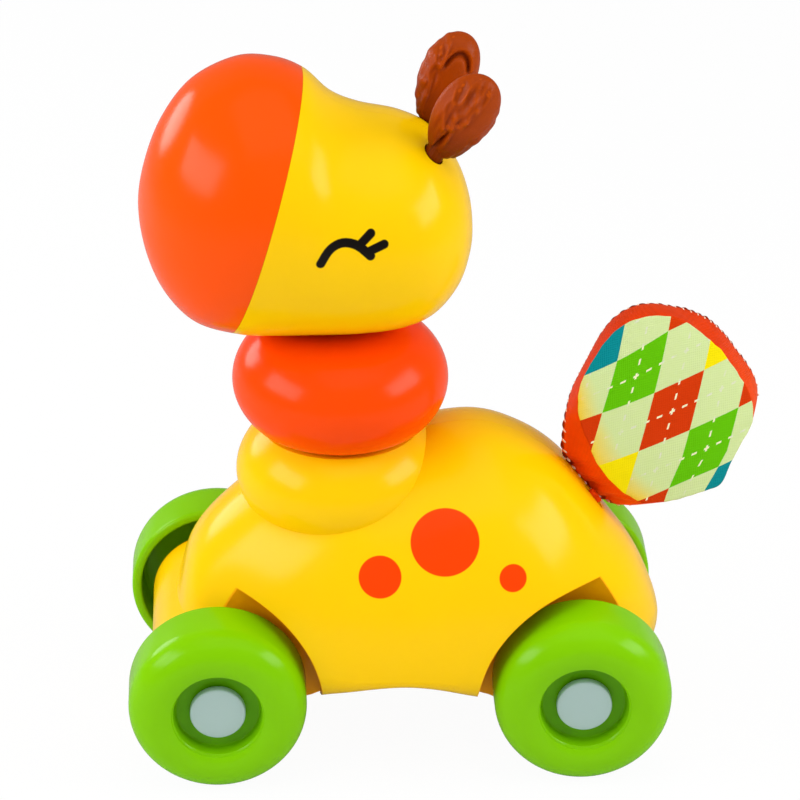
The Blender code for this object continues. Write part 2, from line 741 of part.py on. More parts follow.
def build_head():
    """The muzzle and both head halves: a hollow shell with a neck seat, screw bosses and ear holes."""
    form = lofted(head_lines(), head_waist, HEAD_SIDES)
    cavity = shrunk(form, WALL)
    neck = (NECK_X, 0.0)
    seat_top = HEAD_BOTTOM + NECK_SEAT
    cut(cavity, rod(POST_RADIUS + 2 * WALL, (*neck, 0.0), (*neck, seat_top)))
    for spot in HEAD_SCREWS:
        cut(cavity, cross_rod(BOSS_RADIUS, spot, -FAR, FAR, SMALL_ROUND))
    cut(form, cavity)
    cut(form, rod(POST_WAIST_RADIUS + FIT, (*neck, 0.0), (*neck, seat_top + WALL)))
    cut(form, *screw_holes(HEAD_SCREWS, 0.0, SCREW_SEAT, SCREW_GRIP + FIT))
    for (_, side), lean in zip(SIDES, (LEFT_EAR_LEAN, RIGHT_EAR_LEAN)):
        frame = ear_frame(side, lean)
        inner_end = frame @ (-UP * 2 * EAR_PEG_LENGTH)
        cut(form, rod(EAR_PEG_RADIUS + FIT, inner_end, frame @ (UP * EAR_PEG_LENGTH), SMALL_ROUND))
    muzzle = cut(copy_of(form), muzzle_block(False))
    rear = cut(form, muzzle_block(True))
    halves = []
    for _, side in SIDES:
        half = copy_of(rear)
        low, high = sorted((-side * FAR, side * FIT / 2))
        cut(half, block((-FAR, low, -FAR), (FAR, high, FAR)))
        halves.append(half)
    bpy.data.objects.remove(rear, do_unlink=True)
    return muzzle, halves


def build_ear(side, lean):
    """A cupped paddle on a peg."""
    half_length = EAR_LENGTH / 2
    bm = bmesh.new()
    bmesh.ops.create_uvsphere(bm, u_segments=SMALL_ROUND, v_segments=SMALL_ROUND // 2 + 2, radius=1.0)
    rise = Matrix.Translation(UP * (half_length + WALL / 2))
    bm.transform(rise @ Matrix.Diagonal((EAR_WIDTH / 2, EAR_THICKNESS / 2, half_length, 1.0)))
    ear = solid(bm)
    bm = bmesh.new()
    bmesh.ops.create_uvsphere(bm, u_segments=SMALL_ROUND, v_segments=SMALL_ROUND // 2, radius=1.0)
    hollow = Matrix.Translation(UP * (half_length + WALL) - ACROSS * side * EAR_THICKNESS / 2)
    bm.transform(hollow @ Matrix.Diagonal((EAR_CUP_WIDTH / 2, EAR_CUP, EAR_CUP_LENGTH / 2, 1.0)))
    cut(ear, solid(bm))
    join(ear, rod(EAR_PEG_RADIUS, -UP * EAR_PEG_LENGTH, UP * half_length / 2, SMALL_ROUND))
    ear.data.transform(ear_frame(side, lean))
    return ear


def build_ring():
    """A hollow bead, cut flat above and below and open to its bore."""
    bore = POST_RADIUS + FIT
    outer = bead_curve(RING_RADIUS, RING_RISE, RING_CROWN, -RING_FOOT)
    inner = bead_curve(RING_RADIUS - WALL, RING_RISE - WALL, WALL - RING_FOOT, RING_CROWN - WALL)
    profile = [(bore, RING_CROWN), *outer, (bore, -RING_FOOT)]
    profile += [(bore, WALL - RING_FOOT), *inner, (bore, RING_CROWN - WALL)]
    return turned(profile, (NECK_X, 0.0, RING_CENTRE), UP)


def build_post():
    """The neck: a round post with a flange held in its sleeve and a waist that the head turns on."""
    flange_low, flange_high = flange_heights()
    flange = POST_RADIUS + POST_FLANGE
    waist_low = HEAD_BOTTOM - WALL / 2
    waist_high = HEAD_BOTTOM + NECK_SEAT + FIT
    profile = [(0, SLEEVE_BOTTOM), (POST_RADIUS, SLEEVE_BOTTOM), (POST_RADIUS, flange_low)]
    profile += [(flange, flange_low), (flange, flange_high)]
    profile += [(POST_RADIUS, flange_high), (POST_RADIUS, waist_low)]
    profile += [(POST_WAIST_RADIUS, waist_low), (POST_WAIST_RADIUS, waist_high), (POST_RADIUS, waist_high)]
    profile += [(POST_RADIUS, POST_TOP), (0, POST_TOP)]
    return turned(profile, (NECK_X, 0.0, 0.0), UP, SMALL_ROUND + SMALL_ROUND // 2)


def hub_along(place, low, high):
    """A plain hub that spaces a gear between the frame plates."""
    return cross_rod(SHAFT_RADIUS + FIT + WALL / 2, place, low, high, SMALL_ROUND)


def build_axle_gear():
    """The gear on the front axle, with a tooth towards the drive gear."""
    facing = heading(FRONT_AXLE_PLACE, DRIVE_PLACE)
    outline = gear_outline(GEAR_TEETH, FRONT_AXLE_PLACE, facing)
    gear = plate(outline, GEAR_OFFSET, GEAR_OFFSET + GEAR_WIDTH)
    hub = AXLE_RADIUS + FIT + WALL / 2
    join(gear, cross_rod(hub, FRONT_AXLE_PLACE, FIT - FRAME_LEFT, GEAR_OFFSET + GEAR_WIDTH / 2, SMALL_ROUND))
    return cut(gear, cross_rod(AXLE_RADIUS + FIT, FRONT_AXLE_PLACE, -FAR, FAR, SMALL_ROUND))


def build_drive_gear():
    """A pinion that the axle's gear turns and a gear that turns the flywheel, moulded in one."""
    facing = heading(DRIVE_PLACE, FLYWHEEL_PLACE)
    gear = plate(gear_outline(GEAR_TEETH, DRIVE_PLACE, facing), DRIVE_OFFSET, DRIVE_OFFSET + GEAR_WIDTH)
    gap_facing = heading(DRIVE_PLACE, FRONT_AXLE_PLACE) + math.pi / PINION_TEETH
    pinion = gear_outline(PINION_TEETH, DRIVE_PLACE, gap_facing)
    join(gear, plate(pinion, DRIVE_OFFSET + GEAR_WIDTH / 2, GEAR_OFFSET + GEAR_WIDTH))
    join(gear, hub_along(DRIVE_PLACE, FIT - FRAME_LEFT, DRIVE_OFFSET + GEAR_WIDTH / 2))
    return cut(gear, cross_rod(SHAFT_RADIUS + FIT, DRIVE_PLACE, -FAR, FAR, SMALL_ROUND))


def build_flywheel():
    """A heavy disc with its pinion, with a gap towards the drive gear's tooth."""
    disc_high = DRIVE_OFFSET - GEAR_GAP
    wheel = cross_rod(FLYWHEEL_RADIUS, FLYWHEEL_PLACE, WALL / 2 - FRAME_LEFT, disc_high)
    gap_facing = heading(FLYWHEEL_PLACE, DRIVE_PLACE) + math.pi / PINION_TEETH
    pinion = gear_outline(PINION_TEETH, FLYWHEEL_PLACE, gap_facing)
    join(wheel, plate(pinion, disc_high - WALL / 2, DRIVE_OFFSET + GEAR_WIDTH))
    join(wheel, hub_along(FLYWHEEL_PLACE, DRIVE_OFFSET, FRAME_RIGHT - FIT))
    return cut(wheel, cross_rod(SHAFT_RADIUS + FIT, FLYWHEEL_PLACE, -FAR, FAR, SMALL_ROUND))


def frame_outline():
    """The gear frame's outline: a belt round the shafts, the front axle and the screws."""
    grips = [(spot, PILLAR_RADIUS + WALL / 2) for spot in FRAME_SCREWS]
    grips += [((place.x, place.y), SHAFT_RADIUS + WALL) for place in (DRIVE_PLACE, FLYWHEEL_PLACE)]
    grips += [((FRONT_AXLE_X, AXLE_HEIGHT), AXLE_RADIUS + WALL)]
    bm = bmesh.new()
    for spot, radius in grips:
        for x, z in arc(spot, radius, 0, 315, 7):
            bm.verts.new((x, 0.0, z))
    hull = bmesh.ops.convex_hull(bm, input=bm.verts)
    kept = [item for item in hull["geom"] if isinstance(item, bmesh.types.BMVert)]
    middle_x = sum(corner.co.x for corner in kept) / len(kept)
    middle_z = sum(corner.co.z for corner in kept) / len(kept)
    inner = set(hull["geom_interior"])
    rim = [(corner.co.x, corner.co.z) for corner in bm.verts if corner not in inner]
    bm.free()
    return sorted(rim, key=lambda spot: math.atan2(spot[1] - middle_z, spot[0] - middle_x))


def build_gear_frame():
    """Two plates: the left one has the screw pillars, and both have the bearings."""
    left = plate(frame_outline(), -FRAME_LEFT - FRAME_PLATE, -FRAME_LEFT)
    right = plate(frame_outline(), FRAME_RIGHT, FRAME_RIGHT + FRAME_PLATE)
    root = FRAME_LEFT + FRAME_PLATE / 2
    for spot in FRAME_SCREWS:
        join(left, cross_rod(PILLAR_RADIUS, spot, -root, FRAME_RIGHT - FIT, SMALL_ROUND))
    for side in (left, right):
        for spot in FRAME_SCREWS:
            cut(side, cross_rod(SCREW_RADIUS + FIT, spot, -FAR, FAR, SMALL_ROUND))
        for place in (DRIVE_PLACE, FLYWHEEL_PLACE):
            cut(side, cross_rod(SHAFT_RADIUS + FIT, place, -FAR, FAR, SMALL_ROUND))
        cut(side, cross_rod(AXLE_RADIUS + FIT, FRONT_AXLE_PLACE, -FAR, FAR, SMALL_ROUND))
        cut(side, belly_arch(WALL + FIT))
        cut(side, rod(SLEEVE_RADIUS + FIT, (NECK_X, 0.0, SLEEVE_BOTTOM - FIT), (NECK_X, 0.0, FAR)))
    return left, right


def build_shaft(place):
    return cross_rod(SHAFT_RADIUS, place, -FRAME_LEFT - FRAME_PLATE, FRAME_RIGHT + FRAME_PLATE, SMALL_ROUND)


def tail_pad_frame():
    """The pad's frame: centre of the pad, X to its right, Y through it, Z up."""
    root = tail_frame()
    start = root @ Vector((0.0, 0.0, TAB_REACH + FIT))
    turn = Matrix.Rotation(math.radians(TAIL_YAW), 4, "Z")
    corner = Vector((TAIL_CORNER[0] * TAIL_WIDTH / 2, 0.0, TAIL_CORNER[1] * TAIL_HEIGHT / 2))
    return Matrix.Translation(start - (turn @ corner)) @ turn


def build_tail_pad():
    """A stuffed pad with a boxed edge and a crown on both faces."""
    closed = (TAIL_OUTLINE[-1], *TAIL_OUTLINE, TAIL_OUTLINE[0], TAIL_OUTLINE[1])
    rim = smooth_rows(closed, TAIL_OUTLINE_STEPS)[:-1]
    bm = bmesh.new()
    layers = [(inset, lift) for inset, lift in reversed(TAIL_RINGS)]
    layers += [(inset, -lift) for inset, lift in TAIL_RINGS[1:]]
    rings = []
    for inset, lift in layers:
        depth = -lift * TAIL_THICKNESS / 2
        rings.append([
            bm.verts.new((u * inset * TAIL_WIDTH / 2, depth, v * inset * TAIL_HEIGHT / 2)) for u, v in rim
        ])
    for ring, following in zip(rings, rings[1:]):
        for step in range(len(rim)):
            after = (step + 1) % len(rim)
            bm.faces.new((ring[step], ring[after], following[after], following[step]))
    for ring, depth in ((rings[0], -TAIL_THICKNESS / 2), (rings[-1], TAIL_THICKNESS / 2)):
        pole = bm.verts.new((0.0, depth, 0.0))
        for step in range(len(rim)):
            bm.faces.new((ring[step], ring[(step + 1) % len(rim)], pole))
    bm.transform(tail_pad_frame())
    return solid(bm)


def build_tail_tab():
    half = TAB_WIDTH / 2
    thin = TAB_THICKNESS / 2
    return block((-half, -thin, -TAB_DEPTH), (half, thin, TAB_REACH), tail_frame())


def settle(root):
    """Moves the whole toy so that the middle of its outline stands over the origin."""
    bpy.context.view_layer.update()
    corners = []
    for item in bpy.data.objects:
        if item.type == "MESH":
            corners += [item.matrix_world @ corner.co for corner in item.data.vertices]
    low = Vector([min(corner[axis] for corner in corners) for axis in range(3)])
    high = Vector([max(corner[axis] for corner in corners) for axis in range(3)])
    root.location = (-(low.x + high.x) / 2, -(low.y + high.y) / 2, -low.z)
    bpy.context.view_layer.update()


def main():
    clear_scene()
    yellow = material("yellow_plastic", YELLOW)
    orange = material("orange_plastic", ORANGE)
    green = material("green_plastic", GREEN)
    pale = material("pale_plastic", PALE)
    brown = material("brown_rubber", BROWN)
    cloth = material("tail_cloth", CLOTH)
    steel = material("steel", STEEL)
    natural = material("natural_plastic", NATURAL)
    grey = material("grey_plastic", GREY)

    root = axis_empty("toy", (0.0, 0.0, 0.0))
    turn = axis_empty("head_axis", (NECK_X, 0.0, HEAD_BOTTOM), root)
    spin = axis_empty("ring_axis", (NECK_X, 0.0, RING_CENTRE), root)
    drive = axis_empty("drive_gear_axis", (DRIVE_PLACE.x, 0.0, DRIVE_PLACE.y), root)
    fly = axis_empty("flywheel_axis", (FLYWHEEL_PLACE.x, 0.0, FLYWHEEL_PLACE.y), root)
    flex = axis_empty("tail_axis", tail_frame() @ Vector((0.0, 0.0, TAB_REACH)), root)

    for (side_name, _), half in zip(SIDES, build_body()):
        finish(half, f"body_{side_name}_shell", yellow, root, 30.0)
    frame_seat = FRAME_RIGHT + FRAME_PLATE + FIT + SCREW_SEAT
    for number, spot in enumerate(FRAME_SCREWS, 1):
        finish(build_screw(spot, frame_seat, frame_screw_depth()), f"frame_screw_{number}", steel, root)
    for number, spot in enumerate(REAR_SCREWS, 1):
        finish(build_screw(spot, SCREW_SEAT, SCREW_GRIP), f"body_screw_{number}", steel, root)

    for end, x in (("front", FRONT_AXLE_X), ("rear", REAR_AXLE_X)):
        axis = axis_empty(f"{end}_axle_axis", (x, 0.0, AXLE_HEIGHT), root)
        finish(build_axle(x), f"{end}_axle", steel, axis)
        for side_name, side in SIDES:
            place = (x, side * HALF_TRACK, AXLE_HEIGHT)
            finish(build_wheel(place, side), f"{end}_{side_name}_wheel", green, axis)
            finish(build_cap(place, side), f"{end}_{side_name}_cap", pale, axis)
        if end == "front":
            finish(build_axle_gear(), "axle_gear", natural, axis, 20.0)

    muzzle, head_halves = build_head()
    finish(muzzle, "muzzle", orange, turn, 30.0)
    for (side_name, side), half, lean in zip(SIDES, head_halves, (LEFT_EAR_LEAN, RIGHT_EAR_LEAN)):
        finish(half, f"head_{side_name}_shell", yellow, turn, 30.0)
        finish(build_ear(side, lean), f"{side_name}_ear", brown, turn)
    for number, spot in enumerate(HEAD_SCREWS, 1):
        finish(build_screw(spot, SCREW_SEAT, SCREW_GRIP), f"head_screw_{number}", steel, turn)
    finish(build_post(), "neck_post", orange, root)
    finish(build_ring(), "neck_ring", orange, spin)

    left_frame, right_frame = build_gear_frame()
    finish(left_frame, "gear_frame_left", grey, root)
    finish(right_frame, "gear_frame_right", grey, root)
    finish(build_shaft(DRIVE_PLACE), "drive_gear_shaft", steel, root)
    finish(build_shaft(FLYWHEEL_PLACE), "flywheel_shaft", steel, root)
    finish(build_drive_gear(), "drive_gear", natural, drive, 20.0)
    finish(build_flywheel(), "flywheel", steel, fly, 20.0)

    finish(build_tail_pad(), "tail_pad", cloth, flex, 60.0)
    finish(build_tail_tab(), "tail_tab", cloth, root)
    settle(root)


main()
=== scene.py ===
"""Looks of a giraffe push toy: moulded shells, rubber ears, a sewn tail, and the studio it stands in."""

import math

import bmesh
import bpy
import numpy as np
from mathutils import Matrix, Vector, noise


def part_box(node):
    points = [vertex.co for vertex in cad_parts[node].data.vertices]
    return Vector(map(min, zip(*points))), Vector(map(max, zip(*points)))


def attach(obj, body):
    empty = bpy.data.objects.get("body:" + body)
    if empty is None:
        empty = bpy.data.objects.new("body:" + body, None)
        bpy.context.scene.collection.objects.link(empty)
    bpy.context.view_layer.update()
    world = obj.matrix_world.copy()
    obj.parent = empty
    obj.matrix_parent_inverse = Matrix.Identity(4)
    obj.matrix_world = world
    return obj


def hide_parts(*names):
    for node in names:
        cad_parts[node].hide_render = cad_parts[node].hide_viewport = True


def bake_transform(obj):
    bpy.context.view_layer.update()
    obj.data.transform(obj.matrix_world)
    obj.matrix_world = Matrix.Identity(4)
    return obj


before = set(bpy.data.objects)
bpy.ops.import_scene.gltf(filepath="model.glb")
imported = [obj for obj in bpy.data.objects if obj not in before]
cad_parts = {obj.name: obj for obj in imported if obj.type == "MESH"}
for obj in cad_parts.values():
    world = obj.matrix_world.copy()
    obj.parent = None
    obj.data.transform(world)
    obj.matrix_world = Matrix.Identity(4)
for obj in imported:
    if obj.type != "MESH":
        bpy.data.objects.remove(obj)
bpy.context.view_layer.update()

UP = Vector((0.0, 0.0, 1.0))
ACROSS = Vector((0.0, 1.0, 0.0))
SIDES = (("left", -1.0), ("right", 1.0))
FAR = 0.3

# Faces round a swollen form, and along each span of its lines.
FINE = (112, 9)
COARSE = (32, 3)

# Sizes that the moulded pieces share with the solids, in metres. The nose points along -X.
FIT = 0.0003
WALL = 0.0020
SHIFT = -0.012169
BODY_LENGTH = 0.1163
BODY_FRONT = SHIFT - 0.0529
BODY_HALF_WIDTH = 0.0370
BACK_HEIGHT = 0.0780
WAIST_HEIGHT = 0.0280
BELLY_HEIGHT = 0.0199
BELLY_DROP = 0.0102
HEAD_LENGTH = 0.0766
HEAD_FRONT = SHIFT - 0.0588
HEAD_HEIGHT = 0.0652
HEAD_HALF_WIDTH = 0.0290
HEAD_BOTTOM = 0.10355
HEAD_WAIST = 0.47
NECK_X = SHIFT - 0.0128
NECK_SEAT = 0.0036
POST_RADIUS = 0.0060
POST_WAIST_RADIUS = 0.0048
SLEEVE_BOTTOM = 0.0534
SLEEVE_RADIUS = 0.0087
COLLAR_EQUATOR = 0.0658
COLLAR_SHOULDER = 0.0116
COLLAR_FOOT = 0.0157
COLLAR_RADIUS = 0.02475
COLLAR_RISE = 0.0175
RING_RADIUS = 0.0253
RING_RISE = 0.0176
RING_FOOT = 0.0120
RING_CROWN = 0.01355
BEAD_ROLL = 0.0026
BEAD_CROWN_FLAT = 0.0115
BEAD_FOOT_FLAT = 0.0150
FRONT_ARCH_RADIUS = 0.0246
REAR_ARCH_RADIUS = 0.0255
REAR_ARCH_SHIFT = 0.0008
ARCH_WALL = 0.02105
PAN_HEIGHT = 0.0100
BELLY_CURVE = 0.0480
BELLY_CURVE_X = SHIFT - 0.0010
BODY_WAIST = 0.75
COLLAR_EDGE = 0.0008
POST_GROOVE_DEPTH = 0.0017
POST_GROOVE = (0.0641, 0.0667)
SEAM = 0.00006
HOUSING_RADIUS = 0.0156
MUZZLE_X = HEAD_FRONT + 0.0288
MUZZLE_TILT = 16.3
BOSS_RADIUS = 0.0040
SCREW_HOLE = 0.0016
SCREW_HEAD_HOLE = 0.0028
SCREW_HEAD_HEIGHT = 0.0016
SCREW_HEAD_RADIUS = 0.0025
SCREW_HEAD_ROUND = 0.0010
SCREW_RADIUS = 0.0013
SCREW_TIP_RADIUS = 0.0007
SCREW_TIP = 0.0012
SCREW_CROSS = (0.0016, 0.0003)
SCREW_CROSS_DEPTH = 0.0009
FRAME_BOSS_ENDS = (-0.0089, 0.0123)
BODY_SCREWS = ("body_screw_1", "body_screw_2")
FRAME_SCREWS = ("frame_screw_1", "frame_screw_2", "frame_screw_3")
HEAD_SCREWS = ("head_screw_1", "head_screw_2")
TAB_ROOT = Vector((0.033786, 0.0, 0.055679))
TAB_ALONG = Vector((0.58624, 0.0, -0.81014))
TAB_OUT = Vector((0.81014, 0.0, 0.58624))
TAB_SLOT = ((-0.0038, -0.0008, -0.0063), (0.0038, 0.0008, 0.0040))

# Lines of the body: shares of length, of rise above the waist, of drop below it and of half width.
BODY_LINES = (
    (0.000, 0.00, 0.00, 0.000),
    (0.011, 0.17, 0.89, 0.305),
    (0.039, 0.38, 1.44, 0.490),
    (0.097, 0.56, 1.72, 0.610),
    (0.197, 0.74, 1.90, 0.790),
    (0.334, 0.88, 1.30, 0.945),
    (0.472, 0.94, 0.82, 1.000),
    (0.607, 0.99, 1.46, 0.986),
    (0.704, 0.928, 1.85, 0.940),
    (0.792, 0.782, 1.78, 0.854),
    (0.876, 0.520, 1.72, 0.706),
    (0.945, 0.295, 1.33, 0.485),
    (0.986, 0.085, 0.94, 0.240),
    (1.000, -0.06, 0.333, 0.000),
)

# Lines of the head: shares of its length, of its height for top and underside, and of its half width.
HEAD_LINES = (
    (0.000, 0.475, 0.475, 0.000),
    (0.021, 0.630, 0.306, 0.328),
    (0.076, 0.791, 0.158, 0.620),
    (0.167, 0.927, 0.049, 0.845),
    (0.298, 1.002, 0.006, 0.983),
    (0.409, 0.999, 0.000, 1.000),
    (0.500, 0.954, 0.000, 0.983),
    (0.578, 0.866, 0.002, 0.959),
    (0.663, 0.821, 0.006, 0.941),
    (0.781, 0.790, 0.023, 0.897),
    (0.879, 0.731, 0.069, 0.776),
    (0.954, 0.610, 0.169, 0.552),
    (0.991, 0.487, 0.284, 0.276),
    (1.000, 0.376, 0.376, 0.000),
)


def centre_of(node):
    low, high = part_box(node)
    return (Vector(low) + Vector(high)) / 2


FRONT_AXLE = centre_of("front_axle")
REAR_AXLE = centre_of("rear_axle")
AXLES = (FRONT_AXLE, REAR_AXLE)
ARCHES = (
    (FRONT_AXLE, FRONT_ARCH_RADIUS),
    (REAR_AXLE + Vector((REAR_ARCH_SHIFT, 0.0, 0.0)), REAR_ARCH_RADIUS),
)


# Shapes.

def placed(name, data):
    """A new object in the scene."""
    piece = bpy.data.objects.new(name, data)
    bpy.context.scene.collection.objects.link(piece)
    return piece


def made(bm, name="shape"):
    """An object from a bmesh, with its faces pointing out."""
    bmesh.ops.recalc_face_normals(bm, faces=bm.faces)
    if bm.calc_volume(signed=True) < 0:
        bmesh.ops.reverse_faces(bm, faces=bm.faces)
    mesh = bpy.data.meshes.new(name)
    bm.to_mesh(mesh)
    bm.free()
    return placed(name, mesh)


def baked(piece):
    """Applies a piece's modifiers to its mesh."""
    graph = bpy.context.evaluated_depsgraph_get()
    mesh = bpy.data.meshes.new_from_object(piece.evaluated_get(graph))
    piece.modifiers.clear()
    piece.data = mesh
    return piece


def combine(piece, tools, operation):
    for tool in tools:
        change = piece.modifiers.new(operation, "BOOLEAN")
        change.operation = operation
        change.solver = "MANIFOLD"
        change.object = tool
        baked(piece)
        bpy.data.objects.remove(tool, do_unlink=True)
    return piece


def join(piece, *tools):
    return combine(piece, tools, "UNION")


def cut(piece, *tools):
    return combine(piece, tools, "DIFFERENCE")


def copy_of(piece):
    return placed("copy", piece.data.copy())


def turn_to(place, direction):
    """The transform that takes the Z axis to this direction and the origin to this place."""
    turn = UP.rotation_difference(Vector(direction)).to_matrix().to_4x4()
    return Matrix.Translation(place) @ turn


def lathe(profile, place, direction, steps=96):
    """A turned piece from (radius, height) points, closed along the axis or as a loop."""
    bm = bmesh.new()
    corners = [bm.verts.new((radius, 0.0, height)) for radius, height in profile]
    edges = [bm.edges.new(pair) for pair in zip(corners, corners[1:])]
    if profile[0][0] > 0:
        edges.append(bm.edges.new((corners[-1], corners[0])))
    bmesh.ops.spin(
        bm, geom=corners + edges, cent=(0, 0, 0), axis=UP, angle=2 * math.pi, steps=steps, use_merge=True
    )
    bmesh.ops.remove_doubles(bm, verts=bm.verts, dist=1e-7)
    bm.transform(turn_to(place, direction))
    return made(bm)


def rod(radius, start, end, steps=64):
    start = Vector(start)
    line = Vector(end) - start
    bm = bmesh.new()
    bmesh.ops.create_cone(
        bm, cap_ends=True, segments=steps, radius1=radius, radius2=radius, depth=line.length
    )
    bm.transform(turn_to(start + line / 2, line))
    return made(bm)


def cross_rod(radius, spot, low, high, steps=64):
    """A round bar along Y at this spot."""
    return rod(radius, (spot[0], low, spot[2]), (spot[0], high, spot[2]), steps)


def block(low, high, place=None):
    low = Vector(low)
    size = Vector(high) - low
    bm = bmesh.new()
    bmesh.ops.create_cube(bm, size=1.0)
    bm.transform(Matrix.Translation(low + size / 2) @ Matrix.Diagonal((*size, 1.0)))
    if place:
        bm.transform(place)
    return made(bm)


def arc(centre, radius, start, end, count):
    """Points of a circular arc, with angles in degrees."""
    points = []
    for step in range(count + 1):
        angle = math.radians(start + (end - start) * step / count)
        points.append((centre[0] + radius * math.cos(angle), centre[1] + radius * math.sin(angle)))
    return points


def catmull(before, start, end, after, share):
    """A smooth value between start and end."""
    slope_in = (end - before) / 2
    slope_out = (after - start) / 2
    square = share * share
    cube = square * share
    return (
        (2 * cube - 3 * square + 1) * start
        + (cube - 2 * square + share) * slope_in
        + (3 * square - 2 * cube) * end
        + (cube - square) * slope_out
    )


def swollen(lines, waist_of, around, steps):
    """A ball drawn out through upright sections, each given as x, top, bottom and half width."""
    spans = len(lines) - 1
    first = lines[1]
    last = lines[-2]
    rows = ((first[0], first[2], first[1], -first[3]), *lines, (last[0], last[2], last[1], -last[3]))
    bm = bmesh.new()
    bmesh.ops.create_uvsphere(bm, u_segments=around, v_segments=spans * steps, radius=1.0)
    for corner in bm.verts:
        along = spans * math.acos(max(-1.0, min(1.0, -corner.co.z))) / math.pi
        along = round(along * steps) / steps
        index = min(int(along), spans - 1)
        columns = zip(*rows[index : index + 4])
        x, top, bottom, half_width = (catmull(*column, along - index) for column in columns)
        angle = math.atan2(corner.co.y, corner.co.x)
        waist = waist_of(top, bottom)
        reach = top - waist if math.sin(angle) > 0 else waist - bottom
        corner.co = (x, half_width * math.cos(angle), waist + reach * math.sin(angle))
    return made(bm)


def inset(piece, depth):
    """The piece with its skin moved this deep inside."""
    bm = bmesh.new()
    bm.from_mesh(piece.data)
    bpy.data.objects.remove(piece, do_unlink=True)
    bm.normal_update()
    moves = [(corner, corner.normal * depth) for corner in bm.verts]
    for corner, move in moves:
        corner.co -= move
    return made(bm)


def bead_curve(radius, rise, low, high, count):
    """Points of a bead's outline between two heights from its widest place."""
    points = []
    for step in range(count + 1):
        height = low + (high - low) * step / count
        points.append((radius * math.sqrt(1 - (height / rise) ** 2), height))
    return points


def finish(piece, name, coat, body, slot, *nodes, smooth=35.0, bend=None):
    """Names a piece, paints it, hangs it on its body and lets it stand for its solids.

    A piece given a bend is left in place and not hung on its body; the bend's places are not read."""
    piece.name = name
    piece.data.name = name
    piece.data.materials.clear()
    piece.data.materials.append(coat)
    piece.data.shade_smooth()
    piece.data.set_sharp_from_angle(angle=math.radians(smooth))
    if bend:
        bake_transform(piece)
    else:
        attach(piece, body)
    if nodes:
        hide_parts(*nodes)
    return piece


# Paint and surfaces.

class Nodes:
    """Short calls for a node tree."""

    def __init__(self, tree):
        self.tree = tree

    def add(self, kind, *values, **settings):
        made_node = self.tree.nodes.new(kind)
        for key, value in settings.items():
            setattr(made_node, key, value)
        for socket, value in zip(made_node.inputs, values):
            self.feed(socket, value)
        return made_node

    def feed(self, socket, value):
        if isinstance(value, bpy.types.NodeSocket):
            self.tree.links.new(value, socket)
        elif value is not None:
            socket.default_value = value

    def fill(self, found, **values):
        for key, value in values.items():
            self.feed(found.inputs[key], value)
        return found

    def math(self, operation, *values):
        return self.add("ShaderNodeMath", *values, operation=operation).outputs[0]

    def times(self, first, second):
        return self.math("MULTIPLY", first, second)

    def vector(self, operation, *values):
        found = self.add("ShaderNodeVectorMath", *values, operation=operation)
        scalar = operation in ("DOT_PRODUCT", "LENGTH", "DISTANCE")
        return found.outputs["Value" if scalar else "Vector"]

    def dot(self, first, second):
        return self.vector("DOT_PRODUCT", first, second)

    def split(self, place):
        return self.add("ShaderNodeSeparateXYZ", place).outputs

    def joined(self, x, y, z):
        return self.add("ShaderNodeCombineXYZ", x, y, z).outputs[0]

    def mix(self, factor, first, second, blend="MIX"):
        found = self.add("ShaderNodeMix", data_type="RGBA", blend_type=blend)
        self.feed(found.inputs[0], factor)
        self.feed(found.inputs[6], first)
        self.feed(found.inputs[7], second)
        return found.outputs[2]

    def shaded(self, colour, shade):
        """The colour times a grey."""
        grey = self.add("ShaderNodeCombineColor", shade, shade, shade).outputs[0]
        return self.mix(1.0, colour, grey, "MULTIPLY")

    def remap(self, value, low, high, new_low=0.0, new_high=1.0):
        return self.add("ShaderNodeMapRange", value, low, high, new_low, new_high).outputs[0]

    def noise(self, place, scale, detail=2.0, roughness=0.5):
        found = self.add("ShaderNodeTexNoise")
        self.fill(found, Vector=place, Scale=scale, Detail=detail, Roughness=roughness)
        return found.outputs["Fac"]

    def place(self):
        return self.add("ShaderNodeTexCoord").outputs["Object"]

    def attribute(self, name, output="Fac"):
        return self.add("ShaderNodeAttribute", attribute_name=name).outputs[output]


# Skin of the plastics: repeats in a metre, the spread of colour and gloss, and the fine grain's share.
MOTTLE = 0.05
UNEVENNESS = 0.10
CLOUD_SCALE = 45.0
SMEAR_SCALE = 160.0
GRAIN_SCALE = 2200.0
WAVE_SCALE = 120.0
GRAIN_SHARE = 0.12


def rgb(red, green, blue):
    """A display colour, 0 to 255, as linear light."""
    def linear(value):
        value /= 255
        return value / 12.92 if value <= 0.04045 else ((value + 0.055) / 1.055) ** 2.4
    return (linear(red), linear(green), linear(blue), 1.0)


YELLOW = rgb(254, 203, 2)
ORANGE = rgb(252, 74, 1)
MUZZLE_ORANGE = rgb(253, 83, 1)
SPOT_ORANGE = rgb(249, 67, 1)
GREEN = rgb(128, 200, 1)
PALE = rgb(170, 194, 190)
# painted shade for the inner walls of the wheel arches
ARCH_SHADE_YELLOW = rgb(248, 160, 2)
# painted shade in the hubs' recesses
RECESS_SHADE_GREEN = rgb(100, 170, 1)
BLACK = rgb(22, 18, 16)
# painted shade in the rubber's hollows
HOLLOW_SHADE_BROWN = rgb(104, 28, 0)
RAISED_BROWN = rgb(190, 76, 0)
BLOTCH_BROWN = rgb(152, 50, 0)
# painted shade towards the ears' roots
ROOT_SHADE_BROWN = rgb(84, 26, 0)
NATURAL = rgb(226, 223, 212)
GREY = rgb(124, 127, 130)
STEEL = (0.66, 0.66, 0.68, 1.0)
DARK_STEEL = (0.42, 0.42, 0.44, 1.0)
WHITE = (1.0, 1.0, 1.0, 1.0)


def bare_material(name, roughness, specular, metallic=0.0):
    coat = bpy.data.materials.new(name)
    coat.use_nodes = True
    shader = coat.node_tree.nodes["Principled BSDF"]
    shader.inputs["Roughness"].default_value = roughness
    shader.inputs["Specular IOR Level"].default_value = specular
    shader.inputs["Metallic"].default_value = metallic
    return coat, Nodes(coat.node_tree), shader


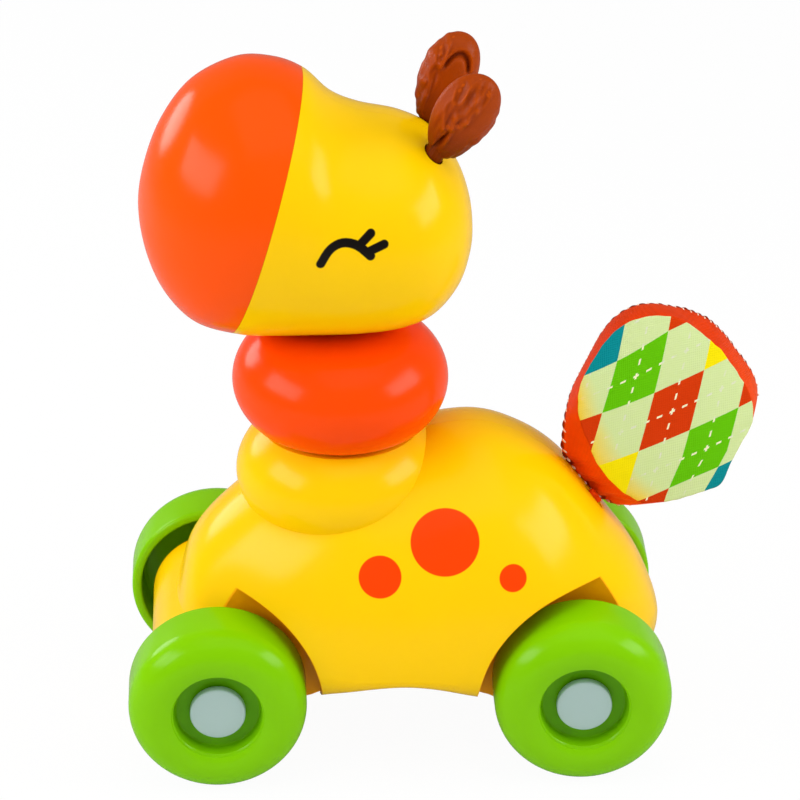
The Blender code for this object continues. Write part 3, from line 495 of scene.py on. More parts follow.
def paint(n, shader, colour, roughness):
    n.feed(shader.inputs["Base Color"], colour)
    n.feed(shader.inputs["Roughness"], roughness)


def bump(n, shader, height, strength, distance):
    found = n.fill(n.add("ShaderNodeBump"), Strength=strength, Distance=distance, Height=height)
    n.feed(shader.inputs["Normal"], found.outputs["Normal"])


def plastic(name, colour_of, gloss=0.20, grain=0.00012):
    """A moulded plastic with a faint mottle, uneven gloss and a fine grain.

    Its colour comes from a plain value or from a function of the nodes."""
    coat, n, shader = bare_material(name, gloss, specular=0.14)
    colour = colour_of(n) if callable(colour_of) else colour_of
    place = n.place()
    cloudy = n.math("SUBTRACT", n.noise(place, CLOUD_SCALE, detail=3.0), 0.5)
    smears = n.math("SUBTRACT", n.noise(place, SMEAR_SCALE, detail=4.0, roughness=0.6), 0.5)
    shade = n.math("MULTIPLY_ADD", cloudy, MOTTLE, 1.0)
    paint(n, shader, n.shaded(colour, shade), n.math("MULTIPLY_ADD", smears, UNEVENNESS, gloss))
    fine = n.noise(place, GRAIN_SCALE, detail=1.0)
    wavy = n.noise(place, WAVE_SCALE, detail=1.0)
    height = n.math("MULTIPLY_ADD", fine, GRAIN_SHARE, wavy)
    bump(n, shader, height, strength=0.25, distance=grain)
    return coat


# Painted spots: middle of each on the left side, and its radius.
SPOTS = (
    ((-0.00166, -0.02770, 0.05995), 0.00800),
    ((-0.01686, -0.03070, 0.05270), 0.00500),
    ((0.01404, -0.03055, 0.05165), 0.00330),
)
PAINT_EDGE = 0.00012
# Reach from the axle of the painted shade in each hub's recess, and its soft edge.
HUB_SHADE = 0.0106
HUB_SHADE_FADE = 0.0006


def mirrored_place(n):
    """The place on the surface, folded over to the left side."""
    x, y, z = n.split(n.place())
    return x, n.times(n.math("ABSOLUTE", y), -1.0), z


def spotted_yellow(n):
    x, y, z = mirrored_place(n)
    place = n.joined(x, y, z)
    colour = YELLOW
    for middle, radius in SPOTS:
        reach = n.vector("DISTANCE", place, middle)
        painted = n.remap(reach, radius + PAINT_EDGE, radius - PAINT_EDGE)
        colour = n.mix(painted, colour, SPOT_ORANGE)
    # Painted shade: the inner walls of the wheel arches are painted a darker orange-yellow for the shade
    # that falls inside them.
    beside = n.remap(y, PAINT_EDGE * 4 - ARCH_WALL, PAINT_EDGE - ARCH_WALL)
    flat = n.joined(x, 0.0, z)
    for spot, radius in ARCHES:
        reach = n.vector("DISTANCE", flat, (spot.x, 0.0, spot.z))
        within = n.remap(reach, radius + 2 * PAINT_EDGE, radius)
        colour = n.mix(n.times(within, beside), colour, ARCH_SHADE_YELLOW)
    return colour


def hub_shaded_green(n):
    """Wheel green with painted shade: darker in the hub's recess."""
    x, _, z = n.split(n.place())
    flat = n.joined(x, 0.0, z)
    colour = GREEN
    for axle in AXLES:
        reach = n.vector("DISTANCE", flat, (axle.x, 0.0, axle.z))
        colour = n.mix(n.remap(reach, HUB_SHADE, HUB_SHADE - HUB_SHADE_FADE), colour, RECESS_SHADE_GREEN)
    return colour


# The closed eye on the left side as (x, z): a smooth lid line and two lashes.
LID = (
    (-0.02985, 0.13190),
    (-0.02818, 0.13460),
    (-0.02636, 0.13600),
    (-0.02411, 0.13640),
    (-0.02133, 0.13545),
    (-0.01864, 0.13300),
)
LASHES = (((-0.02133, 0.13540), (-0.01857, 0.13800)), ((-0.01922, 0.13395), (-0.01560, 0.13545)))
LID_STEPS = 3
EYE_STROKE = 0.00105


def eye_strokes():
    """Short straight strokes that make up the eye."""
    ends = ((2 * LID[0][0] - LID[1][0], 2 * LID[0][1] - LID[1][1]), *LID)
    ends += ((2 * LID[-1][0] - LID[-2][0], 2 * LID[-1][1] - LID[-2][1]),)
    line = []
    for index in range(1, len(ends) - 2):
        for step in range(LID_STEPS):
            columns = zip(*ends[index - 1 : index + 3])
            line.append(tuple(catmull(*column, step / LID_STEPS) for column in columns))
    line.append(LID[-1])
    return list(zip(line, line[1:])) + list(LASHES)


def stroke_reach(n, place, start, end):
    """The distance from a place to a straight stroke, seen from the side."""
    start = Vector((start[0], 0.0, start[1]))
    line = Vector((end[0], 0.0, end[1])) - start
    away = n.vector("SUBTRACT", place, start)
    along = n.times(n.dot(away, line), 1 / line.dot(line))
    along = n.add("ShaderNodeClamp", along, 0.0, 1.0).outputs[0]
    scaled = n.fill(n.add("ShaderNodeVectorMath", operation="SCALE"), Vector=line, Scale=along)
    return n.vector("DISTANCE", away, scaled.outputs["Vector"])


def eyed_yellow(n):
    x, _, z = mirrored_place(n)
    place = n.joined(x, 0.0, z)
    reaches = [stroke_reach(n, place, start, end) for start, end in eye_strokes()]
    nearest = reaches[0]
    for reach in reaches[1:]:
        nearest = n.math("MINIMUM", nearest, reach)
    inked = n.remap(nearest, EYE_STROKE + PAINT_EDGE, EYE_STROKE - PAINT_EDGE)
    return n.mix(inked, YELLOW, BLACK)


# Painted shade: the ears are painted darker towards their roots and lower edges.
EAR_SHADE_PLACE = Vector((-0.0040, 0.0, 0.1515))
EAR_SHADE_LINE = Vector((0.45, 0.0, 0.90))
EAR_SHADE_REACH = 0.0095


def rubber(name):
    """Soft brown rubber with fine creases, painted shade in its hollows and painted shade towards the
    ears' roots.
    """
    coat, n, shader = bare_material(name, roughness=0.36, specular=0.12)
    place = n.place()
    blotches = n.noise(place, scale=220.0, detail=4.0, roughness=0.6)
    hollows = n.add("ShaderNodeNewGeometry").outputs["Pointiness"]
    # Painted shade: hollows are painted a darker brown than raised places.
    colour = n.mix(n.remap(hollows, 0.42, 0.56), HOLLOW_SHADE_BROWN, RAISED_BROWN)
    colour = n.mix(n.remap(blotches, 0.3, 0.75, 0.0, 0.35), colour, BLOTCH_BROWN)
    # Painted shade, darker towards the roots and lower edges of the ears.
    height = n.dot(n.vector("SUBTRACT", place, EAR_SHADE_PLACE), EAR_SHADE_LINE)
    colour = n.mix(n.remap(height, 0.0, EAR_SHADE_REACH, 0.70, 0.0), colour, ROOT_SHADE_BROWN)
    paint(n, shader, colour, n.remap(blotches, 0.3, 0.7, 0.26, 0.46))
    creases = n.noise(place, scale=900.0, detail=3.0, roughness=0.6)
    bump(n, shader, creases, strength=0.5, distance=0.0003)
    return coat


def metal(name):
    """Drawn steel with fine lines along the axle."""
    coat, n, shader = bare_material(name, roughness=0.30, specular=0.5, metallic=1.0)
    stretch = n.fill(n.add("ShaderNodeMapping", n.place()), Scale=(1.0, 0.04, 1.0))
    lines = n.noise(stretch.outputs[0], scale=2600.0)
    paint(n, shader, n.mix(lines, STEEL, DARK_STEEL), n.remap(lines, 0.3, 0.7, 0.24, 0.42))
    bump(n, shader, lines, strength=0.2, distance=0.0001)
    return coat


BODY_COAT = plastic("spotted_yellow", spotted_yellow)
HEAD_COAT = plastic("eyed_yellow", eyed_yellow)
ORANGE_COAT = plastic("orange_plastic", ORANGE)
MUZZLE_COAT = plastic("muzzle_orange", MUZZLE_ORANGE)
WHEEL_COAT = plastic("green_plastic", hub_shaded_green)
CAP_COAT = plastic("pale_plastic", PALE, gloss=0.34)
NATURAL_COAT = plastic("natural_plastic", NATURAL, gloss=0.42, grain=0.0002)
FRAME_COAT = plastic("grey_plastic", GREY, gloss=0.5, grain=0.0003)
RUBBER_COAT = rubber("brown_rubber")
STEEL_COAT = metal("drawn_steel")


# Wheels, caps and axles.

WHEEL_RADIUS = 0.02090
WHEEL_FACE = 0.00865
WHEEL_BACK = 0.00840
WHEEL_BOSS_END = 0.00995
WHEEL_SHOULDER = 0.0068
WHEEL_INNER_EDGE = 0.0010
WHEEL_HOLLOW = 0.0186
HUB_FLOOR = 0.00385
HUB_RECESS_RADIUS = 0.0104
HUB_RECESS_DRAFT = 0.0004
HUB_LIP = 0.0020
WHEEL_BOSS_RADIUS = 0.0052
WHEEL_CORNER = 0.0006
WEB_FILLET = (0.0012, 0.0008)
CAP_RADIUS = 0.0065
CAP_THICKNESS = 0.0022
CAP_EDGE = 0.0005
CAP_CHAMFER = 0.0002
CAP_CROWN = 0.00018
AXLE_RADIUS = 0.0020
AXLE_TRIM = 0.0025
AXLE_CHAMFER = 0.0003


def build_wheel(place, side):
    """A fat wheel with a rolled outer face, a stepped hub recess and a hollow back."""
    bore = AXLE_RADIUS + FIT
    shoulder = (WHEEL_RADIUS - WHEEL_SHOULDER, WHEEL_FACE - WHEEL_SHOULDER)
    inner_edge = (WHEEL_RADIUS - WHEEL_INNER_EDGE, WHEEL_INNER_EDGE - WHEEL_BACK)
    corner = WHEEL_CORNER
    wall = HUB_RECESS_RADIUS - HUB_RECESS_DRAFT
    boss = WHEEL_BOSS_RADIUS
    web_back = HUB_FLOOR - WALL
    profile = [(bore, HUB_FLOOR), (CAP_RADIUS + 2 * FIT, HUB_FLOOR)]
    profile += arc((wall - corner, HUB_FLOOR + corner), corner, -90, 0, 5)
    profile += arc((HUB_RECESS_RADIUS + corner, WHEEL_FACE - HUB_LIP), corner, 175, 125, 5)
    profile += arc(shoulder, WHEEL_SHOULDER, 118, 0, 28)
    profile += arc(inner_edge, WHEEL_INNER_EDGE, 0, -90, 6)
    profile += arc((WHEEL_HOLLOW + corner, corner - WHEEL_BACK), corner, -90, -180, 4)
    profile += [(WHEEL_HOLLOW - HUB_RECESS_DRAFT, web_back - WEB_FILLET[1])]
    profile += [(WHEEL_HOLLOW - WEB_FILLET[0], web_back)]
    profile += [(boss + corner, web_back), (boss, web_back - corner)]
    profile += [(boss, -WHEEL_BOSS_END), (bore, -WHEEL_BOSS_END)]
    return lathe(profile, place, ACROSS * side, 128)


def build_cap(place, side):
    low = HUB_FLOOR + FIT
    high = low + CAP_THICKNESS
    socket = AXLE_RADIUS + FIT
    depth = low + CAP_THICKNESS / 2 + FIT
    profile = [(0, depth), (socket, depth), (socket, low)]
    profile += [(CAP_RADIUS - CAP_CHAMFER, low), (CAP_RADIUS, low + CAP_CHAMFER)]
    profile += arc((CAP_RADIUS - CAP_EDGE, high - CAP_EDGE), CAP_EDGE, 0, 80, 6)
    profile += [(CAP_RADIUS * 0.5, high + CAP_CROWN * 2 / 3), (0, high + CAP_CROWN)]
    return lathe(profile, place, ACROSS * side, 96)


def build_axle(node):
    low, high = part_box(node)
    middle = centre_of(node)
    start = low[1] + AXLE_TRIM
    end = high[1] - AXLE_TRIM
    tip = AXLE_RADIUS - AXLE_CHAMFER
    profile = [(0, start), (tip, start), (AXLE_RADIUS, start + AXLE_CHAMFER)]
    profile += [(AXLE_RADIUS, end - AXLE_CHAMFER), (tip, end), (0, end)]
    return lathe(profile, (middle.x, 0.0, middle.z), ACROSS, 48)


for end in ("front", "rear"):
    axle_node = f"{end}_axle"
    body = f"{end}_wheelset"
    finish(build_axle(axle_node), f"{axle_node}_bar", STEEL_COAT, body, "steel", axle_node)
    for side_name, side in SIDES:
        wheel_node = f"{end}_{side_name}_wheel"
        cap_node = f"{end}_{side_name}_cap"
        hub = centre_of(wheel_node)
        wheel = build_wheel(hub, side)
        finish(wheel, f"{wheel_node}_tyre", WHEEL_COAT, body, "green_plastic", wheel_node)
        finish(build_cap(hub, side), f"{cap_node}_disc", CAP_COAT, body, "pale_plastic", cap_node)


# Body shells.

def body_lines():
    rise = BACK_HEIGHT - WAIST_HEIGHT
    found = []
    for along, top, bottom, width in BODY_LINES:
        high = WAIST_HEIGHT + rise * top
        low = high if width == 0 else WAIST_HEIGHT - BELLY_DROP * bottom
        found.append((BODY_FRONT + along * BODY_LENGTH, high, low, width * BODY_HALF_WIDTH))
    return found


def body_waist(top, bottom):
    return min(WAIST_HEIGHT, bottom + BODY_WAIST * (top - bottom))


def build_collar(depth, steps):
    """The collar bead, this deep inside its skin, cut flat where the neck bead sits."""
    low = depth - COLLAR_FOOT
    high = COLLAR_SHOULDER - depth
    edge = COLLAR_EDGE if depth == 0 else 0.0
    curve = bead_curve(COLLAR_RADIUS - depth, COLLAR_RISE - depth, low, high - edge, 40)
    top = [(curve[-1][0] - edge, high), (0, high)] if edge else [(0, high)]
    return lathe([(0, low), *curve, *top], (NECK_X, 0.0, COLLAR_EQUATOR), UP, steps)


def belly_arch(margin, steps):
    """The curved space under the belly, grown by a margin."""
    spot = Vector((BELLY_CURVE_X, 0.0, BELLY_HEIGHT - BELLY_CURVE))
    return cross_rod(BELLY_CURVE + margin, spot, -FAR, FAR, steps)


def belly_pan(depth):
    """The low middle of the body between the axles, this deep inside its skin."""
    side = ARCH_WALL - 2 * FIT - depth
    return block((FRONT_AXLE.x, -side, PAN_HEIGHT + depth), (REAR_AXLE.x, side, WAIST_HEIGHT))


def screw_holes(node):
    """A clear hole with a counterbore for the screw that stands at this node."""
    spot = centre_of(node)
    low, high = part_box(node)
    seat = high[1] - SCREW_HEAD_HEIGHT
    return (
        cross_rod(SCREW_HEAD_HOLE, spot, seat, FAR, 32),
        cross_rod(SCREW_HOLE, spot, low[1] - FIT, seat + FIT, 24),
    )


def halves_of(form):
    """Both halves of a form, with a hairline seam on the middle plane."""
    found = []
    for _, side in SIDES:
        low, high = sorted((-side * FAR, side * SEAM / 2))
        found.append(cut(copy_of(form), block((-FAR, low, -FAR), (FAR, high, FAR))))
    bpy.data.objects.remove(form, do_unlink=True)
    return found


def tab_place():
    """The transform from the tail tab's own frame, with Z out of the rump."""
    return Matrix.Translation(TAB_ROOT) @ Matrix((TAB_ALONG, ACROSS, TAB_OUT)).transposed().to_4x4()


def build_body():
    """Both body halves: hollow, with wheel arches, axle housings, collar, sleeve and screw bosses."""
    neck = (NECK_X, 0.0)
    form = swollen(body_lines(), body_waist, *FINE)
    cavity = inset(swollen(body_lines(), body_waist, *COARSE), WALL)
    join(form, build_collar(0.0, 128))
    join(cavity, build_collar(WALL, 32))
    for spot in AXLES:
        join(form, cross_rod(HOUSING_RADIUS, spot, -ARCH_WALL - WALL, ARCH_WALL + WALL, 96))
        join(cavity, cross_rod(HOUSING_RADIUS - WALL, spot, -ARCH_WALL, ARCH_WALL, 32))
    join(form, belly_pan(0.0))
    join(cavity, belly_pan(WALL))
    for spot, radius in ARCHES:
        for low, high in ((-FAR, -ARCH_WALL), (ARCH_WALL, FAR)):
            cut(form, cross_rod(radius, spot, low, high, 128))
        for low, high in ((-FAR, WALL - ARCH_WALL), (ARCH_WALL - WALL, FAR)):
            cut(cavity, cross_rod(radius + WALL, spot, low, high, 48))
    cut(form, belly_arch(0.0, 160))
    cut(cavity, belly_arch(WALL, 64))
    cut(cavity, rod(SLEEVE_RADIUS, (*neck, SLEEVE_BOTTOM), (*neck, FAR), 32))
    for node in FRAME_SCREWS:
        spot = centre_of(node)
        cut(cavity, cross_rod(BOSS_RADIUS, spot, FRAME_BOSS_ENDS[1], FAR, 24))
        cut(cavity, cross_rod(BOSS_RADIUS, spot, -FAR, FRAME_BOSS_ENDS[0], 24))
    for node in BODY_SCREWS:
        cut(cavity, cross_rod(BOSS_RADIUS, centre_of(node), -FAR, FAR, 24))
    cut(form, cavity)
    cut(form, rod(POST_RADIUS + FIT, (*neck, SLEEVE_BOTTOM - WALL), (*neck, FAR), 48))
    low, high = POST_GROOVE
    cut(form, rod(POST_RADIUS + POST_GROOVE_DEPTH, (*neck, low), (*neck, high), 48))
    for spot in AXLES:
        cut(form, cross_rod(AXLE_RADIUS + FIT, spot, -FAR, FAR, 32))
    for node in FRAME_SCREWS + BODY_SCREWS:
        cut(form, *screw_holes(node))
    cut(form, block(*TAB_SLOT, tab_place()))
    return halves_of(form)


for (side_name, _), half in zip(SIDES, build_body()):
    node = f"body_{side_name}_shell"
    finish(half, f"body_{side_name}_half", BODY_COAT, "chassis", "yellow_plastic", node)


# Head shells, muzzle and neck bead.

def head_lines():
    found = []
    for along, top, bottom, width in HEAD_LINES:
        high = HEAD_BOTTOM + top * HEAD_HEIGHT
        low = HEAD_BOTTOM + bottom * HEAD_HEIGHT
        found.append((HEAD_FRONT + along * HEAD_LENGTH, high, low, width * HEAD_HALF_WIDTH))
    return found


def head_waist(top, bottom):
    return bottom + HEAD_WAIST * (top - bottom)


def muzzle_block(ahead):
    """All that lies on one side of the tilted seam between muzzle and head."""
    middle = Vector((MUZZLE_X, 0.0, HEAD_BOTTOM + HEAD_WAIST * HEAD_HEIGHT))
    place = Matrix.Translation(middle) @ Matrix.Rotation(math.radians(MUZZLE_TILT), 4, "Y")
    if ahead:
        return block((-FAR, -FAR, -FAR), (SEAM / 2, FAR, FAR), place)
    return block((-SEAM / 2, -FAR, -FAR), (FAR, FAR, FAR), place)


EAR_ROOTS = {
    "left": (Vector((-0.003969, -0.008, 0.148783)), Vector((0.4649, -0.1392, 0.8744))),
    "right": (Vector((-0.003969, 0.008, 0.148783)), Vector((0.2895, 0.1392, 0.9470))),
}
EAR_PEG_RADIUS = 0.0024
EAR_HOLE = (-0.010, 0.005)


def build_head():
    """The muzzle and both head halves: hollow shells with a neck seat, screw bosses and ear holes."""
    neck = (NECK_X, 0.0)
    seat_top = HEAD_BOTTOM + NECK_SEAT
    form = swollen(head_lines(), head_waist, *FINE)
    cavity = inset(swollen(head_lines(), head_waist, *COARSE), WALL)
    cut(cavity, rod(POST_RADIUS + 2 * WALL, (*neck, 0.0), (*neck, seat_top), 32))
    for node in HEAD_SCREWS:
        cut(cavity, cross_rod(BOSS_RADIUS, centre_of(node), -FAR, FAR, 24))
    cut(form, cavity)
    cut(form, rod(POST_WAIST_RADIUS + FIT, (*neck, 0.0), (*neck, seat_top + WALL), 48))
    for node in HEAD_SCREWS:
        cut(form, *screw_holes(node))
    for root, line in EAR_ROOTS.values():
        low, high = (root + line * height for height in EAR_HOLE)
        cut(form, rod(EAR_PEG_RADIUS + FIT, low, high, 32))
    muzzle = cut(copy_of(form), muzzle_block(False))
    return muzzle, halves_of(cut(form, muzzle_block(True)))


muzzle_shell, head_halves = build_head()
finish(muzzle_shell, "muzzle_shell", MUZZLE_COAT, "head", "orange_plastic", "muzzle")
for (side_name, _), half in zip(SIDES, head_halves):
    node = f"head_{side_name}_shell"
    finish(half, f"head_{side_name}_half", HEAD_COAT, "head", "yellow_plastic", node)


def softened(start, corner, end, count):
    """Points of a smooth turn past a corner, without the start."""
    points = []
    for step in range(1, count + 1):
        share = step / count
        weights = ((1 - share) ** 2, 2 * share * (1 - share), share ** 2)
        columns = zip(start, corner, end)
        points.append(tuple(sum(w * value for w, value in zip(weights, column)) for column in columns))
    return points


def build_bead():
    """The hollow neck bead with softly rolled rims, open to its bore."""
    bore = POST_RADIUS + FIT
    outer = bead_curve(RING_RADIUS, RING_RISE, RING_CROWN - BEAD_ROLL, BEAD_ROLL - RING_FOOT, 48)
    inner = bead_curve(RING_RADIUS - WALL, RING_RISE - WALL, WALL - RING_FOOT, RING_CROWN - WALL, 20)
    crown, foot = outer[0], outer[-1]
    top = softened(crown, (crown[0] - BEAD_ROLL, RING_CROWN), (BEAD_CROWN_FLAT, RING_CROWN), 14)
    low = softened(foot, (foot[0] - BEAD_ROLL, -RING_FOOT), (BEAD_FOOT_FLAT, -RING_FOOT), 14)
    profile = [(bore, RING_CROWN), *reversed(top), *outer, *low, (bore, -RING_FOOT)]
    profile += [(bore, WALL - RING_FOOT), *inner, (bore, RING_CROWN - WALL)]
    middle = centre_of("neck_ring").z - (RING_CROWN - RING_FOOT) / 2
    return lathe(profile, (NECK_X, 0.0, middle), UP, 128)


finish(build_bead(), "neck_bead", ORANGE_COAT, "ring", "orange_plastic", "neck_ring")


# Screws.

def build_screw(node):
    """A pan-head screw along Y with a cross in its head."""
    low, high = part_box(node)
    spot = centre_of(node)
    seat = high[1] - SCREW_HEAD_HEIGHT
    rim = (SCREW_HEAD_RADIUS - SCREW_HEAD_ROUND, seat + SCREW_HEAD_HEIGHT - SCREW_HEAD_ROUND)
    profile = [(0, low[1]), (SCREW_TIP_RADIUS, low[1]), (SCREW_RADIUS, low[1] + SCREW_TIP)]
    profile += [(SCREW_RADIUS, seat), (SCREW_HEAD_RADIUS, seat)]
    profile += arc(rim, SCREW_HEAD_ROUND, 0, 90, 6)
    profile += [(0, high[1])]
    screw = lathe(profile, (spot.x, 0.0, spot.z), ACROSS, 36)
    floor = Vector((spot.x, high[1] - SCREW_CROSS_DEPTH, spot.z))
    top = Vector((spot.x, high[1] + SCREW_HEAD_ROUND, spot.z))
    for along, across in (SCREW_CROSS, SCREW_CROSS[::-1]):
        reach = Vector((along, 0.0, across))
        cut(screw, block(floor - reach, top + reach))
    return screw


for body, screws in (("chassis", FRAME_SCREWS + BODY_SCREWS), ("head", HEAD_SCREWS)):
    for node in screws:
        finish(build_screw(node), f"{node}_bolt", STEEL_COAT, body, "steel", node)


# Ears.

EAR_LENGTH = 0.0235
EAR_HALF_DEPTH = 0.0042

# Half width of each ear, how far its middle and its tip stand to the back, and how far it is let down.
EAR_FORMS = {"left": (0.0069, 0.0010, 0.0, 0.0004), "right": (0.0065, -0.0004, 0.0016, 0.0006)}

# Knots on each ear, as shares of its half width and half length.
EAR_KNOTS = {
    "left": ((-0.05, 0.62), (0.14, 0.46), (0.04, 0.16), (-0.34, 0.12), (-0.22, -0.12), (-0.50, -0.20)),
    "right": ((-0.55, 0.55), (-0.70, 0.25), (-0.45, 0.30), (-0.78, -0.10), (-0.60, -0.35)),
}


def gauss(value, width):
    return math.exp(-((value / width) ** 2))


def rise(value, low, high):
    """A smooth step from 0 to 1."""
    share = max(0.0, min(1.0, (value - low) / (high - low)))
    return share * share * (3 - 2 * share)


def ear_relief(side_name, x, z):
    """Height of the relief on the near face: a smooth lobe or hood, a rough stem, a groove and knots."""
    grain = 1 - 2 * abs(noise.noise(Vector((x * 3.4, z * 1.7, 0.3))))
    fine = noise.noise(Vector((x * 7.0, z * 4.0, 5.1)))
    if side_name == "left":
        rough = 1 - rise(x - 0.35 * z, -0.10, 0.14)
        lobe = 0.22 * gauss(math.hypot(x - 0.42, z - 0.25), 0.55)
        groove_x = -0.42 + 0.30 * (z + 0.8)
        groove = 0.30 * gauss(x - groove_x, 0.07) * (1 - rise(z, -0.45, 0.0))
    else:
        rough = 1 - rise(x - 0.10 * z, -0.55, -0.25)
        reach = math.hypot(x - 0.12, 0.9 * (z - 0.12))
        over = rise(z, 0.22, 0.40)
        lobe = 0.20 * rise(reach, 0.46, 0.56) * over
        groove = 0.22 * gauss(reach - 0.44, 0.06) * over
    knots = sum(gauss(math.hypot(x - at_x, z - at_z), 0.085) for at_x, at_z in EAR_KNOTS[side_name])
    return lobe - groove + rough * (0.17 * grain + 0.09 * fine) + 0.16 * knots


def build_ear(side_name):
    """A rubber ear on a round peg, with its relief on the near face and a notched rim."""
    root, line = EAR_ROOTS[side_name]
    half = EAR_LENGTH / 2
    half_width, middle_back, tip_back, let_down = EAR_FORMS[side_name]
    bm = bmesh.new()
    bmesh.ops.create_uvsphere(bm, u_segments=144, v_segments=110, radius=1.0)
    for corner in bm.verts:
        x, y, z = corner.co
        near = rise(-y, 0.0, 0.7)
        notched = rise(x - z, 0.1, 0.9) if side_name == "left" else rise(-x, 0.1, 0.7)
        swell = 1.0 + 0.06 * notched * noise.noise(Vector((x * 5.5, EAR_LENGTH, z * 5.5)))
        wide = half_width * (1.0 + 0.14 * z)
        depth = EAR_HALF_DEPTH * (y - near * ear_relief(side_name, x, z))
        behind = middle_back + tip_back * (z + 1.0) / 2
        corner.co = (x * wide * swell + behind, depth, half * (z * swell + 1.0) + WALL / 2 - let_down)
    ear = join(made(bm), rod(EAR_PEG_RADIUS, -UP * 0.005, UP * half / 2, 32))
    across = Vector((line.z, 0.0, -line.x)).normalized()
    turn = Matrix((across, line.cross(across), line)).transposed().to_4x4()
    ear.data.transform(Matrix.Translation(root) @ turn)
    return ear


for side_name in EAR_ROOTS:
    node = f"{side_name}_ear"
    ear = build_ear(side_name)
    finish(ear, f"{node}_rubber", RUBBER_COAT, "head", "brown_rubber", node, smooth=60.0)


# Sewn tail.

PAD_MIDDLE = Vector((0.052251, 0.005866, 0.078969))
PAD_TURN = math.radians(20.0)
PAD_RIGHT = Vector((math.cos(PAD_TURN), math.sin(PAD_TURN), 0.0))
PAD_HALF_DEPTH = 0.0042

# Outlines of the printed face and the back, in millimetres from the pad's middle, going round from the
# right.
FACE_EDGE = (
    (20.0, 0.0), (17.9, 3.8), (15.9, 7.1), (13.9, 10.1), (11.8, 13.1), (9.1, 15.8), (6.1, 18.7),
    (2.3, 22.0), (-2.6, 24.3), (-8.1, 25.0), (-13.8, 23.9), (-18.3, 20.3), (-21.5, 15.6),
    (-24.2, 10.8), (-24.9, 5.3), (-24.0, 0.0), (-22.1, -4.7), (-20.5, -9.1), (-18.3, -13.3),
    (-15.4, -17.1), (-12.0, -20.8), (-7.8, -24.1), (-2.7, -25.3), (2.7, -25.4), (8.1, -24.8),
    (13.6, -23.5), (16.2, -18.0), (18.6, -13.5), (21.0, -9.4), (21.4, -4.5),
)
BACK_EDGE = (
    (25.5, 0.0), (22.6, 4.8), (19.8, 8.8), (17.2, 12.5), (14.3, 15.8), (10.8, 18.7), (6.8, 20.9),
    (2.4, 22.5), (-2.5, 24.0), (-7.8, 24.0), (-12.5, 21.7), (-15.9, 17.7), (-18.3, 13.3),
    (-20.6, 9.2), (-22.8, 4.9), (-24.2, 0.0), (-25.0, -5.3), (-24.9, -11.1), (-22.3, -16.2),
    (-19.0, -21.1), (-14.8, -25.7), (-9.4, -28.7), (-3.1, -28.4), (3.1, -27.7), (8.7, -26.8),
    (14.5, -25.0), (18.2, -20.2), (21.2, -15.4), (24.5, -10.9), (26.8, -5.6),
)


def rounded_outline(points):
    """Angle and reach round a closed smooth outline, ready for interpolation."""
    count = len(points)
    found = []
    for index in range(count):
        nearby = [points[(index + step - 1) % count] for step in range(4)]
        for step in range(12):
            u, v = (catmull(*column, step / 12) for column in zip(*nearby))
            found.append((math.atan2(v, u), math.hypot(u, v) / 1000))
    found.sort()
    angles = np.array([item[0] for item in found])
    reaches = np.array([item[1] for item in found])
    return angles, reaches


FACE_OUTLINE = rounded_outline(FACE_EDGE)
BACK_OUTLINE = rounded_outline(BACK_EDGE)


def reach_at(outline, angle):
    return float(np.interp(angle, outline[0], outline[1], period=2 * math.pi))


def pad_reach(angle, blend):
    """The reach of the pad's edge, from its face's outline to its back's."""
    return reach_at(FACE_OUTLINE, angle) * (1 - blend) + reach_at(BACK_OUTLINE, angle) * blend


FACE_CUTS = 43
GUSSET_CUTS = 9
FACE_CROWN = 0.0007
GUSSET_SWELL = 0.0004
SEAM_CREASE = 0.75
ON_FACE = 0.999


def cut_along(bm, axis, cuts):
    """Cuts all edges that run along this axis."""
    chosen = [edge for edge in bm.edges if abs(edge.verts[0].co[axis] - edge.verts[1].co[axis]) > 1e-6]
    bmesh.ops.subdivide_edges(bm, edges=chosen, cuts=cuts, use_grid_fill=True)


def build_pad():
    """The pad before it is stuffed, in its own frame: X to the right, Y to the back, Z up.

    Its two seams are kept as a vertex group."""
    bm = bmesh.new()
    bmesh.ops.create_cube(bm, size=2.0)
    for axis, cuts in ((0, FACE_CUTS), (2, FACE_CUTS), (1, GUSSET_CUTS)):
        cut_along(bm, axis, cuts)
    printed = bm.verts.layers.float.new("printed_reach")
    crease = bm.edges.layers.float.new("crease_edge")
    sewn = set()
    for corner in bm.verts:
        x, y, z = map(abs, corner.co)
        if y > ON_FACE and max(x, z) > ON_FACE:
            sewn.add(corner)
    for edge in bm.edges:
        if edge.verts[0] in sewn and edge.verts[1] in sewn:
            edge[crease] = SEAM_CREASE
    bm.verts.index_update()
    seams = [corner.index for corner in sewn]
    for corner in bm.verts:
        across, y, over = corner.co
        x = across * math.sqrt(1 - over * over / 2)
        z = over * math.sqrt(1 - across * across / 2)
        share = min(1.0, math.hypot(x, z))
        angle = math.atan2(z, x)
        edge = pad_reach(angle, (y + 1) / 2)
        reach = edge * share + GUSSET_SWELL * (1 - y * y)
        depth = y * (PAD_HALF_DEPTH + FACE_CROWN * (1 - share ** 4))
        corner[printed] = edge * (1 - share) if y < -ON_FACE else -PAD_HALF_DEPTH * (y + 1)
        corner.co = (reach * math.cos(angle), depth, reach * math.sin(angle))
    pad = made(bm, "pad")
    pad.vertex_groups.new(name="seams").add(seams, 1.0, "REPLACE")
    return pad


STUFFING_SCALE = 8.0
STUFFING_REACH = 0.0007
STUFFING_STEPS = 20
STUFFING = {
    "quality": 5,
    "mass": 0.25,
    "tension_stiffness": 12,
    "compression_stiffness": 12,
    "bending_stiffness": 0.4,
    "vertex_group_mass": "seams",
    "use_pressure": True,
    "uniform_pressure_force": 4.0,
}


